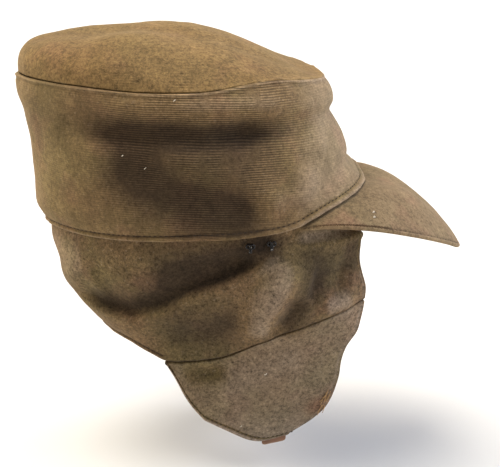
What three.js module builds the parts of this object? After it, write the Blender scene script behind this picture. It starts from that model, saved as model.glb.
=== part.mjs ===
// Ski cap of khaki wool serge, worn with its neck and chin curtain folded down.
//
// Frame: millimetres, +X forwards, +Y to the wearer's left, +Z up. The origin is the middle of the head
// opening, level with the crown's lower edge at the temples.
//
// Every cloth piece is a hollow wall between an outer face and the same face moved inwards. The faces are
// worked out from the tables below: a row is a section or a fold, and values between rows are smooth.
// The cap is the same on both sides, so tables by angle run from the front (0) to the back (180).

import * as THREE from 'three';

// Cloth, board and the gaps between pieces that are sewn together.
const CLOTH = 2;
const PEAK_BOARD = 3;
const GAP = 0.4;

// The crown's side wall from its lower edge (level 0) to the top seam (level 1). A full plan is squarer than
// an ellipse, which has fullness 2, and its rear half has a fullness of its own.
const CROWN_SECTIONS = [
  { level: 0.0, rear: -101.1, front: 100.5, halfWidth: 80, fullness: 2.5, rearFullness: 2.1 },
  { level: 0.06, rear: -103.3, front: 97.8, halfWidth: 80.6, fullness: 2.5, rearFullness: 2.15 },
  { level: 0.13, rear: -106, front: 93, halfWidth: 81.3, fullness: 2.45, rearFullness: 2.2 },
  { level: 0.2, rear: -106.3, front: 89.6, halfWidth: 82, fullness: 2.4, rearFullness: 2.2 },
  { level: 0.32, rear: -106.6, front: 89.4, halfWidth: 82, fullness: 2.3, rearFullness: 2.2 },
  { level: 0.45, rear: -107, front: 86.7, halfWidth: 81.5, fullness: 2.25, rearFullness: 2.2 },
  { level: 0.56, rear: -107.5, front: 82, halfWidth: 81, fullness: 2.2, rearFullness: 2.2 },
  { level: 0.68, rear: -109, front: 78, halfWidth: 80, fullness: 2.2, rearFullness: 2.2 },
  { level: 0.78, rear: -110.6, front: 80.4, halfWidth: 79, fullness: 2.15, rearFullness: 2.15 },
  { level: 0.89, rear: -113.2, front: 79.2, halfWidth: 77, fullness: 2.1, rearFullness: 2.1 },
  { level: 1.0, rear: -113.5, front: 74.5, halfWidth: 75, fullness: 2.05, rearFullness: 2.05 },
];

// Heights of the crown's lower edge and of its top seam. The lower edge arches over the forehead.
const CROWN_EDGES = [
  { angle: 0, lower: 15.5, upper: 79.5 },
  { angle: 16, lower: 17, upper: 81 },
  { angle: 32, lower: 14.8, upper: 83 },
  { angle: 46, lower: 10.8, upper: 85 },
  { angle: 54, lower: 7, upper: 85.2 },
  { angle: 60, lower: 3.6, upper: 84.4 },
  { angle: 75, lower: 0, upper: 81.3 },
  { angle: 95, lower: -2.5, upper: 81 },
  { angle: 120, lower: -4.6, upper: 83.2 },
  { angle: 150, lower: -6, upper: 84 },
  { angle: 180, lower: -10, upper: 83 },
];

// The lower edge is turned up and sewn down: a bead, then the groove of its stitch row. Height is from the
// lower edge, and step is how far the face stands out there.
const TURNED_EDGE = [
  { height: 0, step: 0.8 },
  { height: 2.6, step: 0.8 },
  { height: 4.2, step: -0.5 },
  { height: 6.8, step: 0 },
];

// Folds and dents of the crown's side, as seen from the side: each runs from (x, z) to (toX, toZ), reach is
// how far it spreads to either side of that line, and depth is how far it stands out, or in if negative.
const CROWN_FOLDS = [
  { x: -64, z: 56, toX: 62, toZ: 57, reach: 8, depth: -7 },
  { x: -60, z: 69, toX: 50, toZ: 70, reach: 6, depth: 2 },
  { x: -48, z: 42, toX: 52, toZ: 42, reach: 8, depth: 3 },
  { x: -38, z: 28, toX: 0, toZ: 28, reach: 11, depth: -3 },
  { x: 22, z: 14, toX: 44, toZ: 20, reach: 11, depth: -3.5 },
  { x: 62, z: 8, toX: 62, toZ: 32, reach: 8, depth: 2.5 },
];

// The top panel is a dome, set in a little from the side's edge. A small exponent in plan or slope makes the
// dome full there, and a large one flattens it.
const TOP_APEX = { x: -22, z: 110.5 };
const TOP_INSET = 0.8;
const TOP_SHOULDER = [
  { angle: 0, plan: 1.05, slope: 3 },
  { angle: 60, plan: 1, slope: 2.1 },
  { angle: 110, plan: 0.8, slope: 0.9 },
  { angle: 180, plan: 0.66, slope: 0.5 },
];

// Dents and low ridges of the top, in the columns of CROWN_FOLDS but seen from above.
const TOP_FOLDS = [
  { x: -88, y: 20, toX: -66, toY: 24, reach: 18, depth: -5 },
  { x: -92, y: -22, toX: -66, toY: -26, reach: 18, depth: -2.5 },
  { x: -60, y: 0, toX: 40, toY: 0, reach: 16, depth: 1 },
];

// The peak, from its middle (across 0) to its end at the temple (across 1): the outer edge, and how far the
// peak bellies up between root and edge. Its root sits just below the crown's edge, and an arch below 1 puts
// the belly nearer to the root.
const PEAK_END_ANGLE = 60;
const PEAK_DROP = 0.7;
const PEAK_ARCH = 0.85;
const PEAK_OUTLINE = [
  { across: 0, x: 166.3, y: 0, z: -31, belly: 10.3 },
  { across: 0.12, x: 163.2, y: 15, z: -27.5, belly: 9.8 },
  { across: 0.25, x: 154, y: 30, z: -20.6, belly: 8 },
  { across: 0.5, x: 129, y: 53.5, z: -7.9, belly: 4.2 },
  { across: 0.75, x: 98, y: 70, z: 2.4, belly: 1.2 },
  { across: 0.9, x: 76, y: 73.5, z: 4.6, belly: 0.5 },
  { across: 1, x: 62, y: 71.5, z: 2.5, belly: 0 },
];

// The curtain at each height: its reach to the rear, half its width, and the place of its front edge.
const CURTAIN_SECTIONS = [
  { z: -160, rear: -46, halfWidth: 44, edgeX: 46, edgeY: 33, fullness: 2, rearFullness: 2 },
  { z: -152, rear: -48, halfWidth: 46, edgeX: 55, edgeY: 34, fullness: 2, rearFullness: 2 },
  { z: -144, rear: -50, halfWidth: 48, edgeX: 65.6, edgeY: 35, fullness: 2, rearFullness: 2 },
  { z: -133, rear: -53, halfWidth: 50, edgeX: 76.4, edgeY: 37, fullness: 2, rearFullness: 2 },
  { z: -121, rear: -56, halfWidth: 53, edgeX: 82.4, edgeY: 39, fullness: 2, rearFullness: 2 },
  { z: -108, rear: -59, halfWidth: 56, edgeX: 85.8, edgeY: 40, fullness: 2, rearFullness: 2 },
  { z: -94, rear: -63, halfWidth: 58, edgeX: 87.2, edgeY: 41, fullness: 2, rearFullness: 2 },
  { z: -85, rear: -66, halfWidth: 60, edgeX: 90.1, edgeY: 41, fullness: 2, rearFullness: 2 },
  { z: -76, rear: -71, halfWidth: 63, edgeX: 96.1, edgeY: 41, fullness: 2, rearFullness: 2 },
  { z: -65, rear: -80, halfWidth: 68, edgeX: 99.2, edgeY: 41, fullness: 2.1, rearFullness: 2.05 },
  { z: -55, rear: -87, halfWidth: 72, edgeX: 100.2, edgeY: 41, fullness: 2.2, rearFullness: 2.1 },
  { z: -46, rear: -91, halfWidth: 75, edgeX: 100.4, edgeY: 41, fullness: 2.3, rearFullness: 2.1 },
  { z: -30, rear: -96.3, halfWidth: 78, edgeX: 97, edgeY: 41, fullness: 2.4, rearFullness: 2.1 },
  { z: -14, rear: -98.8, halfWidth: 78, edgeX: 96.4, edgeY: 42, fullness: 2.5, rearFullness: 2.1 },
  { z: -9, rear: -98.1, halfWidth: 77.5, edgeX: 97.2, edgeY: 42, fullness: 2.5, rearFullness: 2.1 },
  { z: -4, rear: -97.4, halfWidth: 77, edgeX: 89.5, edgeY: 42, fullness: 2.5, rearFullness: 2.1 },
  { z: 16, rear: -97.4, halfWidth: 77, edgeX: 89.5, edgeY: 42, fullness: 2.5, rearFullness: 2.1 },
];

// Borders of the curtain by the share of the way from the nape (0) to the front edge (1): its top, and its
// lower border, which is the hem round the neck as far as the chin panel and the curved seam after it.
const CURTAIN_TOP = [
  { share: 0, z: -2 },
  { share: 0.35, z: 2 },
  { share: 0.6, z: 4 },
  { share: 0.84, z: 4 },
  { share: 0.93, z: 4.5 },
  { share: 1, z: 5 },
];
const CURTAIN_FOOT = [
  { share: 0, z: -80 },
  { share: 0.2, z: -78 },
  { share: 0.35, z: -80.5 },
  { share: 0.43, z: -85 },
  { share: 0.5, z: -89 },
  { share: 0.6, z: -88 },
  { share: 0.7, z: -84 },
  { share: 0.78, z: -70 },
  { share: 0.88, z: -59.5 },
  { share: 1, z: -53 },
];

// The chin panel starts where the hem meets the seam, and this is its lower border.
const CHIN_START = 0.5;
const CHIN_FOOT = [
  { share: 0.5, z: -92 },
  { share: 0.53, z: -98 },
  { share: 0.58, z: -114 },
  { share: 0.68, z: -134 },
  { share: 0.77, z: -146.5 },
  { share: 0.88, z: -154.5 },
  { share: 1, z: -153.5 },
];

// Folds of the curtain and of the chin panels, in the columns of CROWN_FOLDS.
const CURTAIN_FOLDS = [
  { x: -76, z: -40, toX: -30, toZ: -33, reach: 13, depth: 4 },
  { x: -66, z: -54, toX: -26, toZ: -47, reach: 7, depth: -7 },
  { x: -28, z: -47, toX: 20, toZ: -24, reach: 8, depth: -5 },
  { x: 43, z: -14, toX: 27, toZ: -75, reach: 8, depth: 4 },
  { x: 60, z: -24, toX: 45, toZ: -60, reach: 10, depth: -3.5 },
  { x: 78, z: -45, toX: 98, toZ: -50, reach: 12, depth: 2 },
  { x: -12, z: -98, toX: 14, toZ: -97, reach: 6, depth: -4 },
  { x: 0, z: -110, toX: 60, toZ: -88, reach: 9, depth: 2.5 },
];

// The leather tab behind the lower border of the right chin panel: its middle, and its size.
const TAB = { x: 46, z: -153, width: 17, height: 13, thickness: 1.4, corner: 2 };
const TAB_CLEARANCE = 1.5;

// The metal fasteners on the curtain, just below the crown's edge: a low stud with a rim.
const HOOK_PLACES = { back: { x: 29, z: -7.5 }, front: { x: 41, z: -6.5 } };
const HOOK = { radius: 2.2, rim: 0.5, height: 1.2, sides: 10 };
const HOOK_CLEARANCE = 1.4;

// Grid sizes: columns round or across a piece, and rows up it.
const CROWN_GRID = { columns: 64, rows: 11 };
const TOP_GRID = { columns: 64, rows: 8 };
const PEAK_GRID = { columns: 32, rows: 7 };
const CURTAIN_GRID = { columns: 68, rows: 12 };
const CHIN_GRID = { columns: 17, rows: 8 };

const SERGE = { color: 0x7c6644, roughness: 0.95 };
const SERGE_FADED = { color: 0x8f7a58, roughness: 0.95 };
const SERGE_LINED = { color: 0x735f4b, roughness: 0.95 };
const LEATHER = { color: 0x7a4630, roughness: 0.7 };
const BLACKENED_METAL = { color: 0x2b2723, roughness: 0.5, metalness: 0.8 };

// Reads a table smoothly: the other columns of its rows, at any place along the key column.
function smoothTable(key, rows) {
  const names = Object.keys(rows[0]).filter((name) => name !== key);
  const places = rows.map((row) => row[key]);
  const values = rows.flatMap((row) => names.map((name) => row[name]));
  const curve = new THREE.CubicInterpolant(places, values, names.length, new Float64Array(names.length));
  curve.settings = { endingStart: THREE.ZeroSlopeEnding, endingEnd: THREE.ZeroSlopeEnding };
  return (place) => {
    const result = curve.evaluate(THREE.MathUtils.clamp(place, places[0], places.at(-1)));
    return Object.fromEntries(names.map((name, index) => [name, result[index]]));
  };
}

const crownSection = smoothTable('level', CROWN_SECTIONS);
const crownEdges = smoothTable('angle', CROWN_EDGES);
const turnedEdge = smoothTable('height', TURNED_EDGE);
const topShoulder = smoothTable('angle', TOP_SHOULDER);
const peakOutline = smoothTable('across', PEAK_OUTLINE);
const curtainSection = smoothTable('z', CURTAIN_SECTIONS);
const curtainTop = smoothTable('share', CURTAIN_TOP);
const curtainFoot = smoothTable('share', CURTAIN_FOOT);
const chinFoot = smoothTable('share', CHIN_FOOT);

const lerp = THREE.MathUtils.lerp;

// A power that keeps the sign of its base.
function signedPower(base, exponent) {
  return Math.sign(base) * Math.abs(base) ** exponent;
}

// The point of a full oval at an angle from the front, in radians. Its widest place is at x = middle.
function ovalPoint({ rear, front, halfWidth, fullness, rearFullness = fullness, middle }, angle) {
  const power = 2 / (Math.cos(angle) > 0 ? fullness : rearFullness);
  const forward = signedPower(Math.cos(angle), power);
  const sideways = signedPower(Math.sin(angle), power);
  const length = forward > 0 ? front - middle : middle - rear;
  return new THREE.Vector2(middle + length * forward, halfWidth * sideways);
}

// How far one fold stands out at a place: it runs from start to end and fades over its reach.
function foldHeight(place, start, end, { reach, depth }) {
  const nearest = new THREE.Line3(start, end).closestPointToPoint(place, true, new THREE.Vector3());
  return depth * Math.exp(-((nearest.distanceTo(place) / reach) ** 2));
}

// How far folds that are given as seen from the side stand out there.
function sideRelief(folds, { x, z }) {
  const at = (forward, height) => new THREE.Vector3(forward, 0, height);
  const heights = folds.map((fold) => (
    foldHeight(at(x, z), at(fold.x, fold.z), at(fold.toX, fold.toZ), fold)
  ));
  return heights.reduce((sum, height) => sum + height, 0);
}

// How far folds that are given as seen from above stand out there.
function topRelief(folds, { x, y }) {
  const at = (forward, sideways) => new THREE.Vector3(forward, sideways, 0);
  const heights = folds.map((fold) => (
    foldHeight(at(x, y), at(fold.x, fold.y), at(fold.toX, fold.toY), fold)
  ));
  return heights.reduce((sum, height) => sum + height, 0);
}

// The outward direction of a face at (u, v), level with the ground where level is true.
function faceNormal(face, u, v, level) {
  const step = 1e-3;
  const [left, right] = [face(u - step, v), face(u + step, v)];
  const [below, above] = [face(u, Math.max(v - step, 0)), face(u, Math.min(v + step, 1))];
  const normal = right.sub(left).cross(above.sub(below));
  if (level) normal.z = 0;
  return normal.normalize();
}

// The face moved along its own outward direction by a distance that depends on the place.
function movedFace(face, distance, level = true) {
  return (u, v) => face(u, v).addScaledVector(faceNormal(face, u, v, level), distance(u, v));
}

// A closed wall between an outer and an inner face over the same grid. A ring closes on itself round u, and
// a domed ring ends in one point at v = 1.
function wall(outer, inner, { columns, rows, vAt = (share) => share }, { ring = false, domed = false } = {}) {
  const positions = [];
  const across = ring ? columns : columns + 1;
  const up = domed ? rows : rows + 1;
  for (const face of [outer, inner]) {
    for (let row = 0; row < up; row += 1) {
      for (let column = 0; column < across; column += 1) {
        positions.push(...face(column / columns, vAt(row / rows)).toArray());
      }
    }
  }
  const poles = positions.length / 3;
  if (domed) positions.push(...outer(0, 1).toArray(), ...inner(0, 1).toArray());

  const triangles = [];
  const quad = (a, b, c, d) => triangles.push(a, b, c, a, c, d);
  const out = (column, row) => row * across + (column % across);
  const inside = (column, row) => up * across + out(column, row);
  for (let column = 0; column < columns; column += 1) {
    const next = column + 1;
    for (let row = 0; row < up - 1; row += 1) {
      quad(out(column, row), out(next, row), out(next, row + 1), out(column, row + 1));
      quad(inside(column, row), inside(column, row + 1), inside(next, row + 1), inside(next, row));
    }
    quad(out(next, 0), out(column, 0), inside(column, 0), inside(next, 0));
    if (domed) {
      triangles.push(out(column, up - 1), out(next, up - 1), poles);
      triangles.push(inside(next, up - 1), inside(column, up - 1), poles + 1);
    } else {
      quad(out(column, rows), out(next, rows), inside(next, rows), inside(column, rows));
    }
  }
  for (let row = 0; row < rows && !ring; row += 1) {
    quad(out(0, row), out(0, row + 1), inside(0, row + 1), inside(0, row));
    quad(out(columns, row + 1), out(columns, row), inside(columns, row), inside(columns, row + 1));
  }
  const geometry = new THREE.BufferGeometry();
  geometry.setAttribute('position', new THREE.Float32BufferAttribute(positions, 3));
  geometry.setIndex(triangles);
  geometry.computeVertexNormals();
  return geometry;
}

// The angle from the front in degrees, from 0 to 180 on either side, for a share of a whole turn.
function degreesFromFront(turn) {
  return 180 - Math.abs(180 - 360 * (turn - Math.floor(turn)));
}

// The crown's side without its turned edge: turn goes round from the front, and level up to the top seam.
function crownFace(turn, level) {
  const section = crownSection(level);
  const middle = (section.rear + section.front) / 2;
  const { x, y } = ovalPoint({ ...section, middle }, turn * 2 * Math.PI);
  const edges = crownEdges(degreesFromFront(turn));
  return new THREE.Vector3(x, y, lerp(edges.lower, edges.upper, level));
}

function crownSide() {
  const folded = movedFace(crownFace, (turn, level) => {
    const free = THREE.MathUtils.smoothstep(level, 0.04, 0.2);
    return free * sideRelief(CROWN_FOLDS, crownFace(turn, level));
  });
  const heightAt = (turn, level) => {
    const { lower, upper } = crownEdges(degreesFromFront(turn));
    return (upper - lower) * level;
  };
  const outer = movedFace(folded, (turn, level) => turnedEdge(heightAt(turn, level)).step);
  const inner = movedFace(folded, () => -CLOTH);
  const edgeLevels = [0, 0.035, 0.055, 0.09];
  const vAt = (share) => {
    const row = Math.round(share * CROWN_GRID.rows);
    const rest = (row - edgeLevels.length + 1) / (CROWN_GRID.rows - edgeLevels.length + 1);
    return edgeLevels[row] ?? lerp(edgeLevels.at(-1), 1, rest);
  };
  return wall(outer, inner, { ...CROWN_GRID, vAt }, { ring: true });
}

// The top panel: rise goes from the seam (0) to the middle of the top (1), inset moves it inwards.
function topFace(inset) {
  return (turn, rise) => {
    const angle = degreesFromFront(turn);
    const shoulder = topShoulder(angle);
    const tilt = (1 - rise) * Math.PI / 2;
    const rim = crownFace(turn, 1);
    const normal = faceNormal(crownFace, turn, 1, true);
    rim.addScaledVector(normal, -TOP_INSET - inset);
    const reach = Math.sin(tilt) ** shoulder.plan;
    const height = Math.cos(tilt) ** shoulder.slope;
    const place = new THREE.Vector3(
      lerp(TOP_APEX.x, rim.x, reach),
      rim.y * reach,
      lerp(rim.z + GAP, TOP_APEX.z, height) - inset * Math.cos(tilt),
    );
    place.z += topRelief(TOP_FOLDS, place) * Math.cos(tilt);
    return place;
  };
}

function crownTop() {
  return wall(topFace(0), topFace(CLOTH), TOP_GRID, { ring: true, domed: true });
}

// The peak's upper face: across goes from the left end (0) to the right end (1), out from root to edge.
function peakFace(across, out) {
  const side = 1 - 2 * across;
  const turn = side * PEAK_END_ANGLE / 360;
  const root = crownFace(turn, 0).addScaledVector(faceNormal(crownFace, turn, 0, true), -CLOTH);
  root.z -= PEAK_DROP;
  const rim = peakOutline(Math.min(Math.abs(side), 1));
  const edge = new THREE.Vector3(rim.x, Math.sign(side) * rim.y, rim.z);
  const chord = edge.clone().sub(root);
  const upwards = new THREE.Vector3(-chord.z * chord.x, -chord.z * chord.y, chord.x ** 2 + chord.y ** 2);
  const arch = out ** PEAK_ARCH;
  const bow = rim.belly * 4 * arch * (1 - arch);
  return root.lerp(edge, out).addScaledVector(upwards.normalize(), bow);
}

function peak() {
  return wall(peakFace, movedFace(peakFace, () => -PEAK_BOARD, false), PEAK_GRID);
}

// The curtain's outer face before folds: share goes from the nape (0) to the front edges (1 and -1).
function drapePoint(share, z) {
  const section = curtainSection(z);
  const middle = -0.5;
  const edgeAngle = Math.asin((section.edgeY / section.halfWidth) ** (section.fullness / 2));
  const length = (section.edgeX - middle) / Math.cos(edgeAngle) ** (2 / section.fullness);
  const angle = Math.PI - share * (Math.PI - edgeAngle);
  const { x, y } = ovalPoint({ ...section, front: middle + length, middle }, angle);
  return new THREE.Vector3(x, y, z);
}

// The curtain's outer face between two borders, over a range of shares. It is held flat inside the crown and
// hangs free below the crown's edge, where its folds begin.
function curtainFace({ from, to, foot, top }) {
  const face = (u, v) => {
    const share = lerp(from, to, u);
    return drapePoint(share, lerp(foot(Math.abs(share)).z, top(Math.abs(share)).z, v));
  };
  return movedFace(face, (u, v) => {
    const place = face(u, v);
    const free = THREE.MathUtils.smoothstep(-place.z, 2, 18);
    return free * sideRelief(CURTAIN_FOLDS, place);
  });
}

function curtainWall(borders, grid) {
  const face = curtainFace(borders);
  return wall(face, movedFace(face, () => -CLOTH), grid);
}

function neckCurtain() {
  return curtainWall({ from: 1, to: -1, foot: curtainFoot, top: curtainTop }, CURTAIN_GRID);
}

function chinPanel(from, to) {
  const top = (share) => ({ z: curtainFoot(share).z - GAP });
  return curtainWall({ from, to, foot: chinFoot, top }, CHIN_GRID);
}

// The share of the way to the front edge at which the curtain reaches x at this height.
function shareAt({ x, z }) {
  let [near, far] = [0, 1];
  for (let step = 0; step < 24; step += 1) {
    const middle = (near + far) / 2;
    if (drapePoint(middle, z).x < x) near = middle;
    else far = middle;
  }
  return near;
}

// Stands a piece whose outward axis is +Z and whose up is +Y on the curtain's outer face, or the given
// distance outside it. Side is 1 on the left and -1 on the right.
function placeOnCurtain(mesh, place, side, distance) {
  const share = side * shareAt(place);
  const level = (height) => () => ({ z: height });
  const around = { from: share + 0.01, to: share - 0.01, foot: level(place.z - 2), top: level(place.z + 2) };
  const face = curtainFace(around);
  const outwards = faceNormal(face, 0.5, 0.5, true);
  const up = new THREE.Vector3(0, 0, 1);
  const along = up.clone().cross(outwards);
  mesh.position.copy(face(0.5, 0.5)).addScaledVector(outwards, distance);
  mesh.quaternion.setFromRotationMatrix(new THREE.Matrix4().makeBasis(along, up, outwards));
}

// The leather tab: a flat strip with rounded corners, facing +Z.
function tabGeometry() {
  const { width, height, thickness, corner } = TAB;
  const [right, top] = [width / 2, height / 2];
  const outline = new THREE.Shape();
  outline.moveTo(-right, top);
  outline.lineTo(-right, corner - top);
  outline.quadraticCurveTo(-right, -top, corner - right, -top);
  outline.lineTo(right - corner, -top);
  outline.quadraticCurveTo(right, -top, right, corner - top);
  outline.lineTo(right, top);
  return new THREE.ExtrudeGeometry(outline, { depth: thickness, bevelEnabled: false, curveSegments: 4 });
}

// A hook's stud, standing on its base and facing +Z.
function hookGeometry() {
  const { radius, rim, height, sides } = HOOK;
  const profile = [
    new THREE.Vector2(0, 0),
    new THREE.Vector2(radius, 0),
    new THREE.Vector2(radius, rim),
    new THREE.Vector2(radius * 0.7, height),
    new THREE.Vector2(0, height),
  ];
  return new THREE.LatheGeometry(profile, sides).rotateX(Math.PI / 2);
}

const group = new THREE.Group();
group.name = 'ski_cap';

function addPiece(name, geometry, finish) {
  const mesh = new THREE.Mesh(geometry, new THREE.MeshStandardMaterial(finish));
  mesh.name = name;
  group.add(mesh);
  return mesh;
}

addPiece('crown_top', crownTop(), SERGE);
addPiece('crown_side', crownSide(), SERGE);
addPiece('peak', peak(), SERGE_FADED);
addPiece('neck_curtain', neckCurtain(), SERGE_LINED);
addPiece('chin_panel_left', chinPanel(1, CHIN_START), SERGE_LINED);
addPiece('chin_panel_right', chinPanel(-CHIN_START, -1), SERGE_LINED);
placeOnCurtain(addPiece('chin_tab', tabGeometry(), LEATHER), TAB, -1, -CLOTH - TAB_CLEARANCE - TAB.thickness);
for (const [sideName, side] of [['left', 1], ['right', -1]]) {
  for (const [placeName, place] of Object.entries(HOOK_PLACES)) {
    const hook = addPiece(`hook_${sideName}_${placeName}`, hookGeometry(), BLACKENED_METAL);
    placeOnCurtain(hook, place, side, HOOK_CLEARANCE);
  }
}

export default group;
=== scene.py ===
"""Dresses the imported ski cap: khaki wool serge, much worn, with its neck and chin curtain folded down.

Lengths in the tables are millimetres in the part's frame: +X forwards, +Y to the wearer's left, +Z up, and
the origin in the middle of the head opening. Finished meshes are in metres.
"""

import logging
import math
from dataclasses import dataclass, field
from enum import Enum
from types import SimpleNamespace
from typing import Any, Callable, Iterator, Mapping, Sequence

import bpy
import numpy as np
from bpy.types import ID, Material, Node, NodeSocket, NodeTree, Object
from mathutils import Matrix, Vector, noise


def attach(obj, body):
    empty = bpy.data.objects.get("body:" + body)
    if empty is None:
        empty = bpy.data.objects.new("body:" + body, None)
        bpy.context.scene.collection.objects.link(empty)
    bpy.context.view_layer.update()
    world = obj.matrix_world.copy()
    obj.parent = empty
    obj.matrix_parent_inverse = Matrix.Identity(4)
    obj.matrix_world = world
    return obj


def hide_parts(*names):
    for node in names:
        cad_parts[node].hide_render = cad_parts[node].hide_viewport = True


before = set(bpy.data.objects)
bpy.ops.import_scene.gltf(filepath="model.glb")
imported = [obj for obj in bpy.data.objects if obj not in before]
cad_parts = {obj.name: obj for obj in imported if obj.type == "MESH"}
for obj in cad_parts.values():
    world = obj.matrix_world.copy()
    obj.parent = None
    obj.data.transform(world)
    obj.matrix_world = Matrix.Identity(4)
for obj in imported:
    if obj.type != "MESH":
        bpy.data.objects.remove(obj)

Array = np.ndarray
Pair = tuple[float, float]
Triple = tuple[float, float, float]
Face = Callable[[Array, Array], Array]

LOG = logging.getLogger("ski_cap")
MM = 0.001
WEAR_AND_SHADING = "wear"  # The attribute that holds each vertex's wear and painted shading.
CLOTH = 2.0  # The lined cloth's thickness in mm.
GAP = 0.4  # The gap in mm between pieces that are sewn edge to edge.
HEM_GROOVE = 3.6  # How far in mm the hems' stitches lie from the curtain's borders.


# --- Numbers and smooth tables ---------------------------------------------------------------------------


class SmoothTable:
    """Rows of named columns with smooth values between the rows."""

    def __init__(self, columns: str, *rows: tuple[float, ...]) -> None:
        """Keeps the rows and works out the slope at each.

        Args:
            columns: The columns' names, the key column first.
            *rows: The table's rows, in the key column's order.
        """
        table = np.array(rows, dtype=float)
        self.names = columns.split()[1:]
        self.places, self.values = table[:, 0], table[:, 1:]
        secants = np.diff(self.values, axis=0) / np.diff(self.places)[:, None]
        self.slopes = np.zeros_like(self.values)
        self.slopes[1:-1] = (secants[:-1] + secants[1:]) / 2
        self.slopes[-1] = secants[-1] / 2

    def at(self, place: Array) -> SimpleNamespace:
        """Reads the table.

        Args:
            place: Where to read it along the key column.

        Returns:
            The other columns' values there, by name.
        """
        place = np.clip(place, self.places[0], self.places[-1])
        row = np.clip(np.searchsorted(self.places, place, side="right") - 1, 0, len(self.places) - 2)
        span = (self.places[row + 1] - self.places[row])[..., None]
        t = (place - self.places[row])[..., None] / span
        value = (
            (2 * t**3 - 3 * t**2 + 1) * self.values[row]
            + (t**3 - 2 * t**2 + t) * span * self.slopes[row]
            + (3 * t**2 - 2 * t**3) * self.values[row + 1]
            + (t**3 - t**2) * span * self.slopes[row + 1]
        )
        return SimpleNamespace(**dict(zip(self.names, np.moveaxis(value, -1, 0))))


def lerp(low: Array, high: Array, share: Array) -> Array:
    """Returns the value at a share of the way from low to high."""
    return low + (high - low) * share


def smoothstep(value: Array, low: float, high: float) -> Array:
    """Returns a smooth step that is 0 below low and 1 above high."""
    share = np.clip((value - low) / (high - low), 0, 1)
    return share * share * (3 - 2 * share)


def signed_power(base: Array, exponent: Array) -> Array:
    """Returns a power that keeps the sign of its base."""
    return np.sign(base) * np.abs(base) ** exponent


def unit(vectors: Array) -> Array:
    """Returns the vectors scaled to length 1."""
    return vectors / np.maximum(np.linalg.norm(vectors, axis=-1, keepdims=True), 1e-9)


def rumple(points: Array, size: float, seed: int) -> Array:
    """Works out smooth random heights from about -1 to 1.

    Args:
        points: Places in mm, with x, y and z last.
        size: How wide a bump is, in mm.
        seed: Which bumps are used.

    Returns:
        A height for each place.
    """
    shift = np.array((17.3, 5.1, 9.7)) * seed
    places = points.reshape(-1, 3) / size + shift
    return np.array([noise.noise(place) for place in places.tolist()]).reshape(points.shape[:-1])


def oval(section: SimpleNamespace, front: Array, middle: Array, angle: Array) -> tuple[Array, Array]:
    """Works out a full oval, squarer than an ellipse where its fullness is over 2.

    Args:
        section: The oval's rear, half_width, fullness and rear_fullness.
        front: Its reach forwards.
        middle: The x of its widest place.
        angle: The angle from the front, in radians.

    Returns:
        The x and y of its points.
    """
    forward_cos, side_sin = np.cos(angle), np.sin(angle)
    power = 2 / np.where(forward_cos > 0, section.fullness, section.rear_fullness)
    forward = signed_power(forward_cos, power)
    length = np.where(forward > 0, front - middle, middle - section.rear)
    return middle + length * forward, section.half_width * signed_power(side_sin, power)


def outward(face: Face, u: Array, v: Array, level: bool) -> Array:
    """Works out a face's outward direction.

    Args:
        face: The face.
        u: Shares round or across it.
        v: Shares up it.
        level: Whether the direction is kept level with the ground.

    Returns:
        A unit vector for each place.
    """
    step = 1e-3
    across = face(u + step, v) - face(u - step, v)
    upwards = face(u, np.minimum(v + step, 1)) - face(u, np.maximum(v - step, 0))
    normal = np.cross(across, upwards)
    if level:
        normal[..., 2] = 0
    return unit(normal)


@dataclass(frozen=True)
class Fold:
    """A fold or dent along a line: out if its depth is positive, in if negative, and fading over its reach.

    Its ends fade over its taper in mm. Sharp is the share of its reach that it keeps on the right of its
    line. Its depth is in mm, or a change of wear and painted shading where the line marks grime, rubbing,
    painted shade and painted highlight.
    """

    line: tuple[Pair, ...]
    reach: float
    depth: float
    taper: float = 0.0
    sharp: float = 1.0

    def height(self, across: Array, up: Array) -> Array:
        """Works out how far the fold stands out.

        Args:
            across: Places across the line's plane, in mm.
            up: Places up that plane, in mm.

        Returns:
            The height at each place, in mm.
        """
        nearest, along, walked = np.full_like(across, np.inf), np.zeros_like(across), 0.0
        right = np.zeros(across.shape, dtype=bool)
        for begin, end in zip(np.array(self.line[:-1]), np.array(self.line[1:])):
            way = end - begin
            length = max(math.hypot(*way), 1e-6)
            share = np.clip(((across - begin[0]) * way[0] + (up - begin[1]) * way[1]) / length**2, 0, 1)
            aside, above = across - begin[0] - share * way[0], up - begin[1] - share * way[1]
            distance = np.hypot(aside, above)
            closer = distance < nearest
            nearest = np.where(closer, distance, nearest)
            along = np.where(closer, walked + share * length, along)
            right = np.where(closer, way[0] * above < way[1] * aside, right)
            walked += length
        reach = np.where(right, self.sharp, 1.0) * self.reach
        ends = smoothstep(np.minimum(along, walked - along), 0, self.taper) if self.taper else 1.0
        return self.depth * ends * np.exp(-((nearest / reach) ** 2))


def relief(folds: Sequence[Fold], across: Array, up: Array) -> Array:
    """Returns the height that the folds add up to at each place."""
    return sum(fold.height(across, up) for fold in folds)


def shade_and_wear_marks(folds: Sequence[Fold], points: Array, left: float = 0.4, blend: float = 20.0) -> Array:
    """Works out the changes of wear and painted shading that lines on the cloth add up to, weaker on the left
    side.

    Args:
        folds: The lines, as x and z, whose depths are changes of wear and painted shading.
        points: Places in mm, with x, y and z last.
        left: The share of a change that the left side keeps.
        blend: How far in mm from the middle the sides blend.

    Returns:
        The change at each place.
    """
    side = lerp(left, 1.0, smoothstep(-points[..., 1], -blend, blend))
    return side * relief(folds, points[..., 0], points[..., 2])


# --- Materials -------------------------------------------------------------------------------------------


def linear(colour: str) -> tuple[float, float, float, float]:
    """Turns an sRGB colour into a linear one.

    Args:
        colour: The colour as hex, such as "#7c6644".

    Returns:
        Its linear red, green, blue and alpha.
    """
    parts = [int(colour[place : place + 2], 16) / 255 for place in (1, 3, 5)]
    red, green, blue = [c / 12.92 if c <= 0.04045 else ((c + 0.055) / 1.055) ** 2.4 for c in parts]
    return red, green, blue, 1.0


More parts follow.
